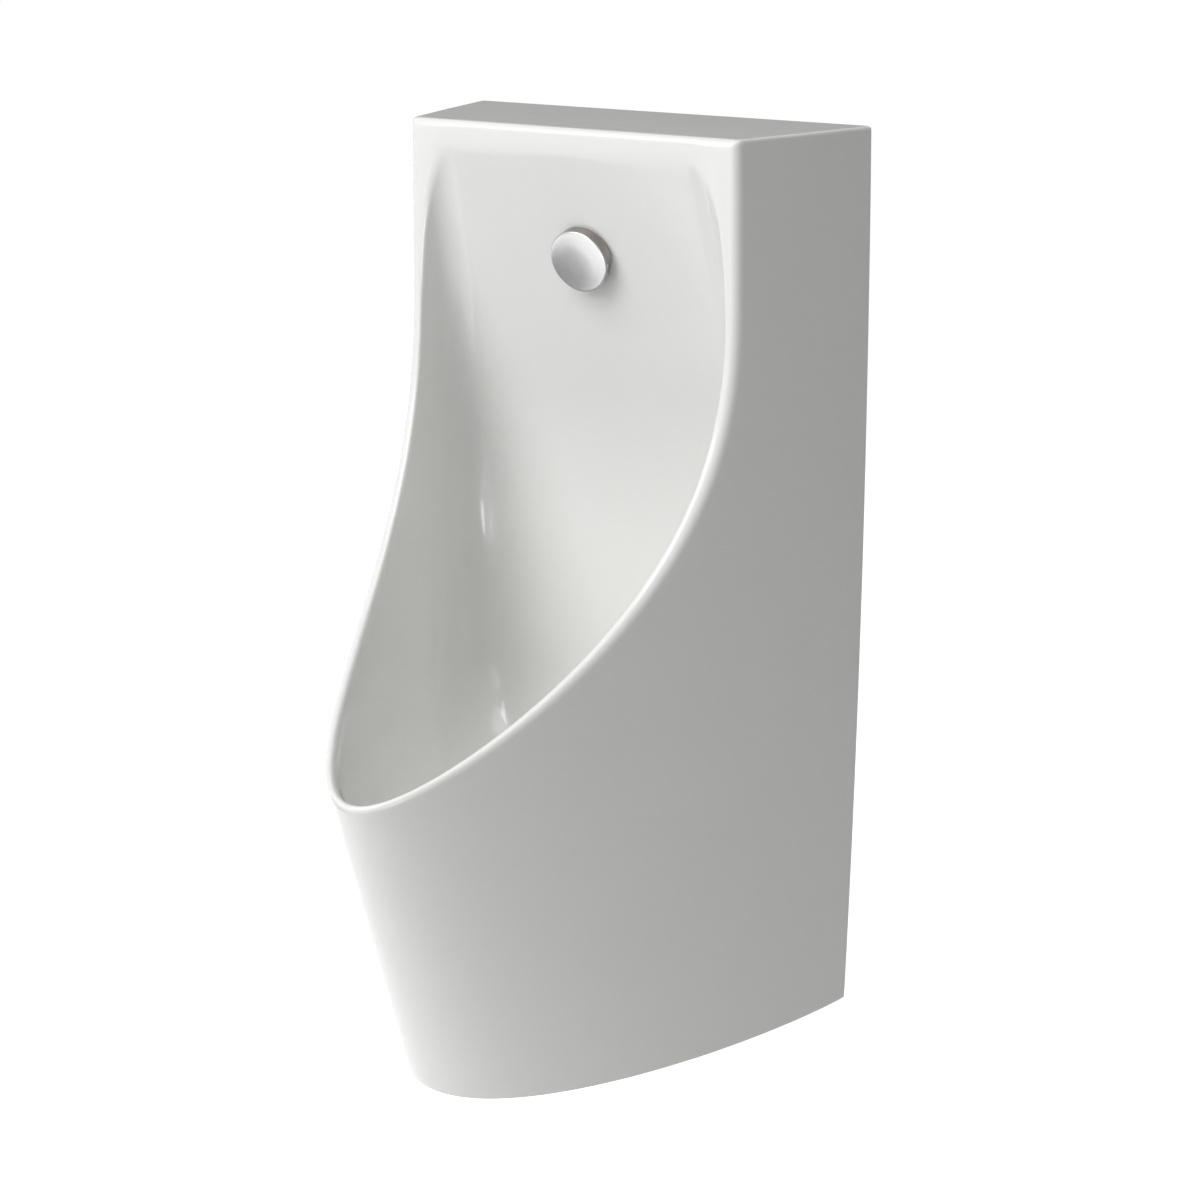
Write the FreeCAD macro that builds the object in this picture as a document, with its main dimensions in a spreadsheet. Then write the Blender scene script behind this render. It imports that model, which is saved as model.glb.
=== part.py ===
import FreeCAD, Part
import math
import os
import re
import Sketcher
from FreeCAD import Placement, Rotation, Vector

# Wall hung urinal in vitreous china, with its flush spreader, water trap and wall hangers.
# Axes: the wall is the plane y = 0, the front is -Y, +Z is up and z = 0 is the lower edge of the skirt.
# "Depth" always means the distance out from the wall.

doc = FreeCAD.newDocument("Urinal")
sheet = doc.addObject("Spreadsheet::Sheet", "sizes")

drivingSizes = [
    # china body
    ("bodyHeight", 650, "lower edge of the skirt to the top face"),
    ("wallHalfWidth", 164.4, "half the width where the body meets the wall"),
    ("waistBow", 4, "how far each side bows out half way up"),
    ("footDepth", 288.5, "depth of the skirt's lower edge"),
    ("crownDepth", 531.2, "depth that the slanting front would reach at the top"),
    ("footTaper", 0.58, "how fast the sides draw in from the wall, lower edge"),
    ("crownTaper", 1.39, "how fast the sides draw in from the wall, top"),
    ("topFaceDepth", 127.5, "depth of the top face and of the straight upper rim"),
    ("curveDrop", 95, "how far under the top face the rim starts to sweep forward"),
    ("lipHeight", 245, "height of the front lip"),
    ("lipReach", 252.5, "how far the rim sweeps forward from the top face to the lip"),
    ("rimPower", 2.7, "how late the rim sweeps forward"),
    ("rimWall", 14, "thickness of the china between the outside and the bowl"),
    ("skirtWall", 14, "thickness of the skirt and the top slab"),
    ("bowlWall", 12, "thickness of the china behind and under the bowl"),
    ("panelDrop", 10, "how far under the top face the sloping back panel starts"),
    ("panelTilt", 17, "lean of the back panel, degrees from upright"),
    ("panelLength", 180, "height of that panel, down to where it starts to turn upright"),
    ("panelTurn", 110, "height taken by that turn"),
    ("bowlFloor", 150, "height of the bowl's floor beside the waste"),
    ("floorSlope", 0.14, "fall of the bowl's floor towards the waste"),
    ("floorRound", 78, "size of the round between floor and walls"),
    ("upperRound", 36, "size of the round between panel and sides, top"),
    ("lowerRound", 130, "size of the round between back and sides, bottom"),
    # waste
    ("wasteDepth", 200, "distance of the waste's axis from the wall"),
    ("wasteHoleGap", 3, "gap between the waste's neck and the hole through the china"),
    ("seatGap", 1, "gap between the waste flange and the seat sunk in the bowl's floor"),
    ("seatSink", 4, "how far the seat is sunk"),
    ("bossBorder", 6, "border of the thick place under the waste, past the trap's collar"),
    ("bossDrop", 14, "thickness of the china under the seat"),
    ("gasketThick", 1.5, "thickness of the flat gaskets"),
    ("flangeBorder", 11, "how far the waste flange reaches past its neck"),
    ("flangeThick", 3, "thickness of the waste flange's lip"),
    ("neckRadius", 40, "outer radius of the waste flange's threaded neck"),
    ("neckWall", 3.5, "wall of that neck"),
    ("neckLength", 37, "length of that neck under the lip"),
    ("rebateWiden", 3, "how much wider the rebate for the trap insert is than the neck"),
    ("rebateDeep", 3.5, "depth of that rebate"),
    ("slip", 0.3, "gap between pieces that lift out and their seats"),
    ("fit", 0.05, "running gap between a thread or spigot and its bore"),
    ("trapGasket", 3, "thickness of the gasket between trap and china"),
    ("collarBorder", 16, "how far the trap's clamping collar reaches past the neck"),
    ("collarThick", 5, "thickness of that collar"),
    ("trapWall", 4, "wall of the trap's cup"),
    ("trapTall", 111, "height of the trap, from its collar's top to its underside"),
    ("outletDrop", 45, "how far the outlet's axis is under the collar's top"),
    ("pipeRadius", 25, "outer radius of the outlet pipe"),
    ("pipeWall", 2, "wall of the outlet pipe"),
    ("socketWall", 4, "wall of the socket that takes the outlet pipe"),
    ("socketOut", 42, "how far the socket's open end stands out past the neck"),
    ("socketDeep", 28, "how far the pipe goes into the socket"),
    ("sealThick", 5, "length of the outlet pipe's rubber seal"),
    ("nutRidge", 6, "how far the outlet nut stands out round the socket"),
    ("dipInset", 19, "how much smaller the insert's dip tube is than the neck, in radius"),
    ("dipGap", 18, "height of the dip tube's lower end over the trap's underside"),
    ("insertWall", 2.5, "wall of the trap insert"),
    ("insertDrop", 16, "depth of the insert's funnel"),
    ("ringRadius", 1.1, "section radius of the insert's sealing ring"),
    ("strainerThick", 1.5, "thickness of the strainer"),
    ("strainerRise", 4, "crown of the strainer"),
    ("strainerHole", 2.6, "radius of the strainer's holes"),
    ("roseBorder", 15, "how far the rubber wall rose reaches past the pipe"),
    ("roseThick", 4, "thickness of that rose"),
    ("roseSleeve", 22, "length of its sleeve"),
    # flush
    ("flushDrop", 89, "how far under the top face the spreader's axis meets the panel"),
    ("capSkirt", 2.5, "how far the spreader's cap reaches past its flange"),
    ("capStand", 11, "how far the cap's edge stands off the panel"),
    ("capCrown", 1.6, "crown of the cap's face"),
    ("capWall", 1.8, "thickness of the cap"),
    ("capLift", 2.2, "gap between panel and the cap's half skirt"),
    ("spreaderLap", 6, "how far the spreader's flange reaches past its tail"),
    ("spreaderThick", 3.5, "thickness of that flange"),
    ("tailRadius", 14, "radius of the spreader's threaded tail"),
    ("tailBore", 8, "radius of its bore"),
    ("tailLength", 46, "length of the tail behind the panel's face"),
    ("panelHoleGap", 2, "gap between the tail and the hole through the panel"),
    ("nutWall", 4, "wall of the lock nut at its flats"),
    ("lockNutThick", 8, "thickness of the lock nut"),
    ("unionNutThick", 16, "length of the union nut"),
    ("supplyInset", 3.5, "how much smaller the supply pipe is than the tail, in radius"),
    ("supplyWall", 1.5, "wall of the supply pipe"),
    ("supplyCollar", 3, "thickness of the supply pipe's collar"),
    ("supplyBend", 40, "radius of the supply pipe's bend"),
    # hangers
    ("hangerInset", 69.4, "distance of a hanger's middle from the side of the body"),
    ("hangerWide", 44, "width of a hanger"),
    ("hangerTall", 62, "height of a hanger's wall plate"),
    ("plateThick", 3, "thickness of the steel brackets"),
    ("ribDrop", 50, "how far the china's hanging rib hangs under the top face"),
    ("ribTall", 18, "height of that rib"),
    ("ribThick", 14, "thickness of that rib"),
    ("ribBack", 6, "distance of that rib from the wall"),
    ("padThick", 3, "thickness of the rubber pads"),
    ("hookGap", 4, "gap between rib and hook"),
    ("hookRise", 15, "height of the hook above its arm"),
    ("screwHole", 3.5, "radius of the wall screw holes"),
    ("screwPitch", 30, "distance between a hanger's two screw holes"),
    ("screwFromEdge", 12, "distance of the lower screw hole from the plate's edge"),
    ("footInset", 56.4, "distance of a foot bracket's middle from the side of the body"),
    ("footWide", 30, "width of a foot bracket"),
    ("footHeight", 20, "height of a foot bracket's underside"),
    ("footTall", 44, "height of a foot bracket's wall leg"),
    ("footReach", 42, "length of a foot bracket's level leg"),
    ("footHoleUp", 30, "height of the wall screw hole above the bracket's underside"),
    ("lugThick", 14, "thickness of the china lug over a foot bracket"),
    ("boltRadius", 3, "radius of the foot bolts"),
    ("boltHoleGap", 0.6, "gap round a foot bolt in its holes"),
    ("boltDepth", 27, "distance of the foot bolts from the wall"),
    ("boltHead", 5, "across-corner radius of the bolt heads and nuts, less the bolt's radius"),
    ("boltHeadThick", 4, "thickness of bolt heads and nuts"),
    ("washerBorder", 6, "how far the foot bolt washers reach past the bolt"),
    ("washerThick", 1.5, "thickness of the foot bolt washers"),
]
# sizes that follow from those above, so that what fits together changes together
tiedSizes = [
    ("panelTop", "bodyHeight - panelDrop", "height where the sloping back panel starts"),
    ("panelFoot", "panelTop - panelLength", "height where the panel starts to turn upright"),
    ("curveStart", "bodyHeight - curveDrop", "height where the rim starts to sweep forward"),
    ("wasteHole", "neckRadius + wasteHoleGap", "radius of the waste hole in the china"),
    ("flangeRadius", "neckRadius + flangeBorder", "radius of the waste flange"),
    ("seatRadius", "flangeRadius + seatGap", "radius of the seat sunk in the bowl's floor"),
    ("collarRadius", "neckRadius + collarBorder", "radius of the trap's clamping collar"),
    ("bossRadius", "collarRadius + bossBorder", "radius of the thick place under the waste"),
    ("trapTop", "bowlFloor - seatSink - bossDrop - trapGasket", "height of the trap's collar"),
    ("trapFloor", "trapTop - trapTall", "height of the trap's underside"),
    ("outletHeight", "trapTop - outletDrop", "height of the outlet's axis"),
    ("socketEnd", "wasteDepth - neckRadius - socketOut", "distance of the socket's open end"),
    ("dipRadius", "neckRadius - dipInset", "outer radius of the insert's dip tube"),
    ("dipEnd", "trapFloor + dipGap", "height of the dip tube's lower end"),
    ("roseRadius", "pipeRadius + roseBorder", "radius of the rubber wall rose"),
    ("flushHeight", "bodyHeight - flushDrop", "height of the spreader on the panel"),
    ("spreaderFlange", "tailRadius + spreaderLap", "radius of the spreader's flange"),
    ("capRadius", "spreaderFlange + capSkirt", "radius of the spreader's cap"),
    ("panelHole", "tailRadius + panelHoleGap", "radius of the hole through the panel"),
    ("nutFlats", "2 * (tailRadius + nutWall)", "distance across the lock nut's flats"),
    ("supplyRadius", "tailRadius - supplyInset", "outer radius of the supply pipe"),
    ("hangerSpan", "2 * (wallHalfWidth - hangerInset)", "distance between the hangers"),
    ("ribHeight", "bodyHeight - ribDrop", "height of the rib's underside"),
    ("footSpan", "2 * (wallHalfWidth - footInset)", "distance between the foot brackets"),
    ("washerRadius", "boltRadius + washerBorder", "radius of the foot bolt washers"),
]
for row, (alias, value, note) in enumerate(drivingSizes + tiedSizes, start=1):
    sheet.set("A%d" % row, alias)
    sheet.set("B%d" % row, "=%s" % value)
    sheet.setAlias("B%d" % row, alias)
    sheet.set("C%d" % row, note)
doc.recompute()


def size(alias):
    return float(getattr(sheet, alias))


def worked(expression):
    """Value of an expression written in the sheet's own words."""
    return float(sheet.evalExpression(expression))


# ---------------------------------------------------------------- helpers

aliases = [alias for alias, value, note in drivingSizes + tiedSizes]


def bind(piece, what, expression):
    """Binds a property or constraint to an expression in the sheet's words."""
    words = re.sub(r"[A-Za-z]\w*",
                   lambda word: "sizes." * (word.group() in aliases) + word.group(), expression)
    piece.setExpression(what, words)


def originPlane(body, role):
    return [f for f in body.Origin.OriginFeatures if f.Role == role][0]


def newBody(label):
    body = doc.addObject("PartDesign::Body", label)
    body.Label = label
    return body


def place(piece, across="0", depth="0", height="0", turn=None):
    """Puts a piece at a distance across, out from the wall and up; turn = (axis, degrees)."""
    if turn:
        piece.Placement = Placement(Vector(), Rotation(turn[0], worked(turn[1])))
        bind(piece, "Placement.Rotation.Angle", "(%s) * 1 deg" % turn[1])
    bind(piece, "Placement.Base.x", across)
    bind(piece, "Placement.Base.y", "-(%s)" % depth)
    bind(piece, "Placement.Base.z", height)


def outlineSketch(body, name, role, corners, circles=()):
    """Closed outline whose corners, and circles (x, y, radius), are bound to the sheet."""
    sketch = body.newObject("Sketcher::SketchObject", name)
    sketch.AttachmentSupport = [(originPlane(body, role), "")]
    sketch.MapMode = "FlatFace"
    spots = [Vector(worked(a), worked(b), 0) for a, b in corners]
    count = len(spots)
    for i in range(count):
        sketch.addGeometry(Part.LineSegment(spots[i], spots[(i + 1) % count]), False)
    for i in range(count):
        sketch.addConstraint(Sketcher.Constraint("Coincident", i, 2, (i + 1) % count, 1))
    for i, (a, b) in enumerate(corners):
        bindSpot(sketch, i, 1, a, b)
    for a, b, radius in circles:
        circle = Part.Circle(Vector(worked(a), worked(b), 0), Vector(0, 0, 1), worked(radius))
        index = sketch.addGeometry(circle, False)
        bindSpot(sketch, index, 3, a, b)
        number = sketch.addConstraint(Sketcher.Constraint("Radius", index, worked(radius)))
        bind(sketch, "Constraints[%d]" % number, radius)
    return sketch


def bindSpot(sketch, index, corner, a, b):
    for kind, axis, text in (("DistanceX", -2, a), ("DistanceY", -1, b)):
        if text == "0":
            sketch.addConstraint(Sketcher.Constraint("PointOnObject", index, corner, axis))
        else:
            number = sketch.addConstraint(
                Sketcher.Constraint(kind, -1, 1, index, corner, worked(text)))
            bind(sketch, "Constraints[%d]" % number, text)


def turned(label, corners):
    """Body turned about its own Z from an outline of (radius, height) corners."""
    body = newBody(label)
    sketch = outlineSketch(body, label + "_outline", "XZ_Plane", corners)
    turn = body.newObject("PartDesign::Revolution", label + "_turn")
    turn.Profile = sketch
    turn.ReferenceAxis = (sketch, ["V_Axis"])
    turn.Angle = 360
    return body


def tube(label, inner, outer, low, high):
    return turned(label, [(inner, low), (outer, low), (outer, high), (inner, high)])


def extruded(label, role, corners, length, circles=(), middle=False):
    """Body padded from an outline, to one side of its plane or evenly to both."""
    body = newBody(label)
    sketch = outlineSketch(body, label + "_outline", role, corners, circles)
    pad = body.newObject("PartDesign::Pad", label + "_pad")
    pad.Profile = sketch
    bind(pad, "Length", length)
    pad.Midplane = middle
    return body


def hexagon(flats):
    """Corners of a hexagon with the given distance across its flats."""
    corners = []
    for k in range(6):
        turn = "%d deg" % (60 * k)
        corners.append(("(%s) / sqrt(3) * cos(%s)" % (flats, turn),
                        "(%s) / sqrt(3) * sin(%s)" % (flats, turn)))
    return corners


def featureFrom(label, shape):
    piece = doc.addObject("Part::Feature", label)
    piece.Label = label
    piece.Shape = shape
    return piece


# ---------------------------------------------------------------- china body

def eased(a, b, width):
    """The larger of two values, rounded where they are within width of each other."""
    near = max(width - abs(a - b), 0) / width
    return max(a, b) + near * near * width / 4


def skinPlan(z):
    """Half width, depth and taper of the outside at a height."""
    up = z / size("bodyHeight")
    half = size("wallHalfWidth") + 4 * size("waistBow") * up * (1 - up)
    depth = size("footDepth") + (size("crownDepth") - size("footDepth")) * up
    taper = size("footTaper") + (size("crownTaper") - size("footTaper")) * up
    return half, depth, taper


def skinHalf(share, half, taper):
    """Half width at a share of the depth: a round nose on slowly closing sides."""
    return half * math.sqrt(max(1 - share ** 2 - taper * share * (1 - share ** 1.5), 0))


def skinDistance(x, depth, z):
    """About how far a spot lies outside the outer skin; below nought inside it."""
    half, reach, taper = skinPlan(z)
    share = max(depth / reach, 0)
    value = (x / half) ** 2 - (1 - share ** 2 - taper * share * (1 - share ** 1.5))
    slopeX = 2 * x / half ** 2
    slopeD = (2 * share + taper * (1 - 2.5 * share ** 1.5)) / reach
    return value / math.hypot(slopeX, slopeD)


def panelDepth(z):
    """Depth of the bowl's back: a leaning panel that turns upright lower down."""
    lean = math.tan(math.radians(size("panelTilt")))
    if z >= size("panelFoot"):
        return size("topFaceDepth") - lean * (size("panelTop") - z)
    below = min(size("panelFoot") - z, size("panelTurn"))
    foot = size("topFaceDepth") - lean * (size("panelTop") - size("panelFoot"))
    return foot - lean * below * (1 - below / (2 * size("panelTurn")))


def bowlDistance(x, depth, z):
    """About how far a spot lies outside the bowl's hollow."""
    up = min(max(z / size("bodyHeight"), 0), 1)
    corner = size("lowerRound") + (size("upperRound") - size("lowerRound")) * up
    around = eased(skinDistance(x, depth, z) + size("rimWall"), panelDepth(z) - depth, corner)
    away = math.hypot(x, depth - size("wasteDepth"))
    floor = size("bowlFloor") + size("floorSlope") * (away - size("seatRadius"))
    return eased(around, floor - z, size("floorRound"))


def closedSpline(spots):
    curve = Part.BSplineCurve()
    curve.interpolate(Points=spots, PeriodicFlag=True)
    return Part.Wire([curve.toShape()])


def bowlRing(z, grow):
    """Outline of the bowl's hollow at a height, grown by the china behind it."""
    spots = []
    rays = 72
    for k in range(rays):
        turn = 2 * math.pi * k / rays
        inner, outer = 0.0, 620.0
        while outer - inner > 0.001:
            middle = (inner + outer) / 2
            x = middle * math.sin(turn)
            depth = size("wasteDepth") - middle * math.cos(turn)
            if bowlDistance(x, depth, z) < grow:
                inner = middle
            else:
                outer = middle
        spots.append(Vector(inner * math.sin(turn),
                            -size("wasteDepth") + inner * math.cos(turn), z))
    return closedSpline(spots)


def bowlHollow(grow):
    """The bowl's hollow as a loft; grow > 0 gives it with the china behind and under it."""
    top = size("bodyHeight") + 12
    low = size("bowlFloor") - grow + 1
    rises = [0, 0.012, 0.03, 0.055, 0.09, 0.14, 0.21, 0.3, 0.4, 0.5, 0.6, 0.7, 0.8, 0.9, 1]
    rings = [bowlRing(low + (top - low) * rise, grow) for rise in rises]
    return Part.makeLoft(rings, True, False)


def skinWire(z, inset, back):
    """Plan of the outside at a height, drawn in by inset and closed along y = -back."""
    half, reach, taper = skinPlan(z)
    steps = 16
    side = []
    for k in range(steps + 1):
        share = 1 - (k / steps) ** 2
        x = skinHalf(share, half, taper)
        slope = -half * half * (2 * share + taper * (1 - 2.5 * share ** 1.5)) / reach
        along = Vector(slope, -2 * x, 0).normalize() if x > 0 else Vector(-1, 0, 0)
        side.append(Vector(x, -share * reach, 0) + inset * Vector(along.y, -along.x, 0))
    if inset:
        last, before = side[-1], side[-2]
        side[-1] = last + (last - before) * ((-back - last.y) / (last.y - before.y))
    side[-1].y = -back
    for spot in side:
        spot.z = z
    mirrored = [Vector(-spot.x, spot.y, z) for spot in side[:0:-1]]
    front = Part.BSplineCurve()
    front.interpolate(Points=mirrored + side)
    return Part.Wire([front.toShape(), Part.makeLine(side[-1], mirrored[0])])


def skinSolid(inset, back, low, high):
    """Solid inside the outside plan, drawn in by inset, from one height to another."""
    levels = [low + (high - low) * k / 4 for k in range(5)]
    return Part.makeLoft([skinWire(z, inset, back) for z in levels], True, False)


def rimDepth(z):
    """Depth of the rim: upright at the top, sweeping forward to the lip."""
    fall = max(size("curveStart") - z, 0) / (size("curveStart") - size("lipHeight"))
    return size("topFaceDepth") + size("lipReach") * fall ** size("rimPower")


def frontCutter():
    """Everything in front of the rim, as a slab right across the body."""
    beyond = size("crownDepth") + 50
    over = size("bodyHeight") + 20
    across = 2 * size("wallHalfWidth")
    low = size("lipHeight") - 12
    steps = 14
    sweep = []
    for k in range(steps + 1):
        z = size("curveStart") + (low - size("curveStart")) * k / steps
        sweep.append(Vector(-across, -rimDepth(z), z))
    curve = Part.BSplineCurve()
    curve.interpolate(sweep)
    corners = [sweep[-1], Vector(-across, -beyond, low), Vector(-across, -beyond, over),
               Vector(-across, -rimDepth(over), over), sweep[0]]
    edges = [curve.toShape()]
    edges += [Part.makeLine(a, b) for a, b in zip(corners, corners[1:])]
    return Part.Face(Part.Wire(edges)).extrude(Vector(2 * across, 0, 0))


def flushPlace():
    """Where the spreader's axis leaves the panel; local +Z points out of the panel."""
    spot = Vector(0, -panelDepth(size("flushHeight")), size("flushHeight"))
    return Placement(spot, Rotation(Vector(1, 0, 0), 90 + size("panelTilt")))


def chinaBody():
    height = size("bodyHeight")
    outside = skinSolid(0, 0, 0, height)
    body = outside.cut(frontCutter())
    body = body.cut(bowlHollow(0))
    rear = skinSolid(size("skirtWall"), -5, -1, height - size("skirtWall"))
    rear = rear.cut(bowlHollow(size("bowlWall")))
    seat = size("bowlFloor") - size("seatSink")
    at = Vector(0, -size("wasteDepth"), seat - size("bossDrop"))
    boss = Part.makeCylinder(size("bossRadius"), size("bossDrop"), at)
    rear = rear.cut(boss)
    inside = skinSolid(size("skirtWall") - 2, 0, 0, height - 2)
    rib = Part.makeBox(2 * size("wallHalfWidth"), size("ribThick"), size("ribTall"),
                       Vector(-size("wallHalfWidth"), -size("ribBack") - size("ribThick"),
                              size("ribHeight")))
    rear = rear.cut(rib)
    lugBase = size("footHeight") + size("plateThick") + size("padThick")
    inner = size("footSpan") / 2 - size("footWide") / 2
    for side in (-1, 1):
        start = inner if side > 0 else -size("wallHalfWidth")
        lug = Part.makeBox(size("wallHalfWidth") - inner, size("footReach"), size("lugThick"),
                           Vector(start, -size("footReach") - size("ribBack"), lugBase))
        rear = rear.cut(lug)
        hole = Part.makeCylinder(size("boltRadius") + size("boltHoleGap"), 60,
                                 Vector(side * size("footSpan") / 2, -size("boltDepth"), 0))
        body = body.cut(hole.common(inside))
    body = body.cut(rear)
    sink = Part.makeCylinder(size("seatRadius"), 40, Vector(0, -size("wasteDepth"), seat))
    through = Part.makeCylinder(size("wasteHole"), 80, Vector(0, -size("wasteDepth"), seat - 60))
    panelHole = Part.makeCylinder(size("panelHole"), 80)
    panelHole.Placement = flushPlace().multiply(Placement(Vector(0, 0, -40), Rotation()))
    # ground flat where the spreader's gasket and its rear washer bear
    flat = size("spreaderFlange") + 2
    front = Part.makeCylinder(flat, 20)
    front.Placement = flushPlace()
    behind = Part.makeCylinder(flat + 2, 14)
    behind.Placement = flushPlace().multiply(
        Placement(Vector(0, 0, -size("bowlWall") - 14), Rotation()))
    return body.cut(sink).cut(through).cut(panelHole).cut(front).cut(behind)


print("china body")
featureFrom("china_body", chinaBody())


# ---------------------------------------------------------------- flush spreader
# Local +Z is the spreader's axis: 0 on the panel's face, rising away from the wall.

def onFlush(piece):
    piece.Placement = flushPlace()
    return piece


print("flush spreader")
flangeBack = "gasketThick"
flangeFace = "gasketThick + spreaderThick"
tailEnd = "-tailLength"
lockNutFace = "-(bowlWall + padThick + washerThick)"
onFlush(tube("spreader_gasket", "tailRadius + fit", "spreaderFlange - 1", "0", flangeBack))
onFlush(turned("spreader_body", [
    ("tailBore", tailEnd), ("tailRadius", tailEnd), ("tailRadius", flangeBack),
    ("spreaderFlange", flangeBack), ("spreaderFlange", flangeFace),
    ("tailBore + 3", flangeFace), ("tailBore", flangeFace + " - 2")]))

# the cap's skirt closes the upper half only: water leaves by the open lower half
capBack = "capStand - capWall"
capShell = turned("spreader_cap", [
    ("0", capBack), ("spreaderFlange + fit", capBack), ("spreaderFlange + fit", "capLift"),
    ("capRadius", "capLift"), ("capRadius", "capStand - 0.8"), ("capRadius - 0.8", "capStand"),
    ("capRadius * 0.62", "capStand + capCrown * 0.62"), ("0", "capStand + capCrown")])
slot = outlineSketch(capShell, "spreader_cap_slot", "XZ_Plane", [
    ("-(capRadius + 5)", "capLift - 5"), ("capRadius + 5", "capLift - 5"),
    ("capRadius + 5", capBack), ("-(capRadius + 5)", capBack)])
cut = capShell.newObject("PartDesign::Pocket", "spreader_cap_cut")
cut.Profile = slot
bind(cut, "Length", "capRadius + 5")
cut.Reversed = True
onFlush(capShell)

onFlush(tube("panel_washer", "tailRadius + fit", "tailRadius + 7.5",
             "-(bowlWall + padThick)", "-bowlWall"))
onFlush(tube("slip_washer", "tailRadius + fit", "tailRadius + 7",
             lockNutFace, "-(bowlWall + padThick)"))
nut = extruded("spreader_lock_nut", "XY_Plane", hexagon("nutFlats"), "lockNutThick",
               [("0", "0", "tailRadius + fit")])
nut.Placement = flushPlace().multiply(
    Placement(Vector(0, 0, worked(lockNutFace + " - lockNutThick")), Rotation()))

collarFace = "-(tailLength + gasketThick)"
collarBack = "-(tailLength + gasketThick + supplyCollar)"
unionBack = collarBack + " - 3"
onFlush(tube("supply_washer", "supplyRadius - supplyWall", "tailRadius - 0.5",
             collarFace, tailEnd))
union = extruded("supply_union_nut", "XY_Plane", hexagon("nutFlats - 3"), "unionNutThick",
                 [("0", "0", "supplyRadius + fit")])
bore = outlineSketch(union, "supply_union_bore", "XZ_Plane", [
    ("0", "3"), ("tailRadius + fit", "3"), ("tailRadius + fit", "unionNutThick"),
    ("0", "unionNutThick")])
groove = union.newObject("PartDesign::Groove", "supply_union_groove")
groove.Profile = bore
groove.ReferenceAxis = (bore, ["V_Axis"])
groove.Angle = 360
union.Placement = flushPlace().multiply(
    Placement(Vector(0, 0, worked(unionBack)), Rotation()))


def supplyPipe():
    """Collar and pipe: straight on from the tail, one gentle bend, then level to the wall."""
    place = flushPlace()
    outward = place.Rotation.multVec(Vector(0, 0, 1))
    collarAt = place.multVec(Vector(0, 0, worked(collarFace)))
    start = collarAt
    tilt = math.radians(size("panelTilt"))
    bendFrom = start - outward * 10
    tangent = size("supplyBend") * math.tan(tilt / 2)
    corner = bendFrom - outward * tangent
    bendTo = corner + Vector(0, tangent, 0)
    arcMiddle = (bendFrom + bendTo) * 0.5
    toward = (arcMiddle - corner).normalize()
    centre = corner + toward * (size("supplyBend") / math.cos(tilt / 2))
    onArc = centre - toward * size("supplyBend")
    end = Vector(0, 0, corner.z)
    path = Part.Wire([Part.makeLine(start, bendFrom),
                      Part.Arc(bendFrom, onArc, bendTo).toShape(), Part.makeLine(bendTo, end)])
    solids = []
    for radius in (size("supplyRadius"), size("supplyRadius") - size("supplyWall")):
        ring = Part.Wire([Part.makeCircle(radius, start, outward)])
        solids.append(path.makePipeShell([ring], True, True))
    collar = Part.makeCylinder(size("tailRadius") - 0.5, size("supplyCollar"),
                               start, outward * -1)
    return solids[0].fuse(collar).cut(solids[1]).removeSplitter(), corner.z


pipeShape, supplyHeight = supplyPipe()
featureFrom("supply_pipe", pipeShape)
print("supply height", supplyHeight)


# ---------------------------------------------------------------- waste and trap

def onWaste(piece, height="0"):
    place(piece, "0", "wasteDepth", height)
    return piece


print("waste and trap")
seatHeight = "bowlFloor - seatSink"
lipBase = seatHeight + " + gasketThick"
lipTop = lipBase + " + flangeThick"
neckBore = "neckRadius - neckWall"
rebate = "neckRadius - neckWall + rebateWiden"
rebateBase = lipTop + " - rebateDeep"
neckFoot = lipTop + " - neckLength"
bossFoot = seatHeight + " - bossDrop"
collarTop = "trapTop"
collarFoot = collarTop + " - collarThick"
onWaste(tube("waste_gasket", "neckRadius + slip", "flangeRadius - 1", seatHeight, lipBase))
onWaste(turned("waste_flange", [
    (neckBore, neckFoot), ("neckRadius", neckFoot), ("neckRadius", lipBase),
    ("flangeRadius", lipBase), ("flangeRadius", lipTop + " - 1"),
    ("flangeRadius - 1.5", lipTop), (rebate, lipTop), (rebate, rebateBase),
    (neckBore, rebateBase)]))
onWaste(tube("trap_gasket", "neckRadius + slip", "collarRadius", collarTop, bossFoot))


def trapBody():
    """Cup with a clamping collar on top and a socket towards the wall for the pipe."""
    inner = size("neckRadius") + size("fit")
    outer = inner + size("trapWall")
    low, top = size("trapFloor"), worked(collarTop)
    cup = Part.makeCylinder(outer, top - low)
    collar = Part.makeCylinder(size("collarRadius"), size("collarThick"),
                               Vector(0, 0, top - low - size("collarThick")))
    cup = cup.fuse(collar)
    axis = Vector(0, 1, 0)
    reach = size("wasteDepth") - size("socketEnd")
    level = size("outletHeight") - low
    bore = size("pipeRadius") + size("fit")
    socket = Part.makeCylinder(bore + size("socketWall"), reach, Vector(0, 0, level), axis)
    hollow = Part.makeCylinder(inner, top, Vector(0, 0, size("trapWall")))
    deep = Part.makeCylinder(bore, size("socketDeep"),
                             Vector(0, reach - size("socketDeep"), level), axis)
    way = Part.makeCylinder(size("pipeRadius") - size("pipeWall"), reach,
                            Vector(0, 0, level), axis)
    body = cup.fuse(socket).cut(hollow).cut(deep).cut(way)
    edges = [e for e in body.Edges if abs(e.BoundBox.ZMax) < 0.01 and e.BoundBox.ZLength < 0.01
             and e.Curve.Radius > inner]
    return body.makeFillet(3, edges)


trap = featureFrom("trap_body", trapBody())
trap.Placement = Placement(Vector(0, -size("wasteDepth"), size("trapFloor")), Rotation())

# outlet pipe, its seal and nut, and the rose at the wall: local +Z runs from the wall to the trap
level = [Vector(1, 0, 0), "90"]


def onOutlet(piece, depth):
    place(piece, "0", depth, "outletHeight", level)
    return piece


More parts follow.
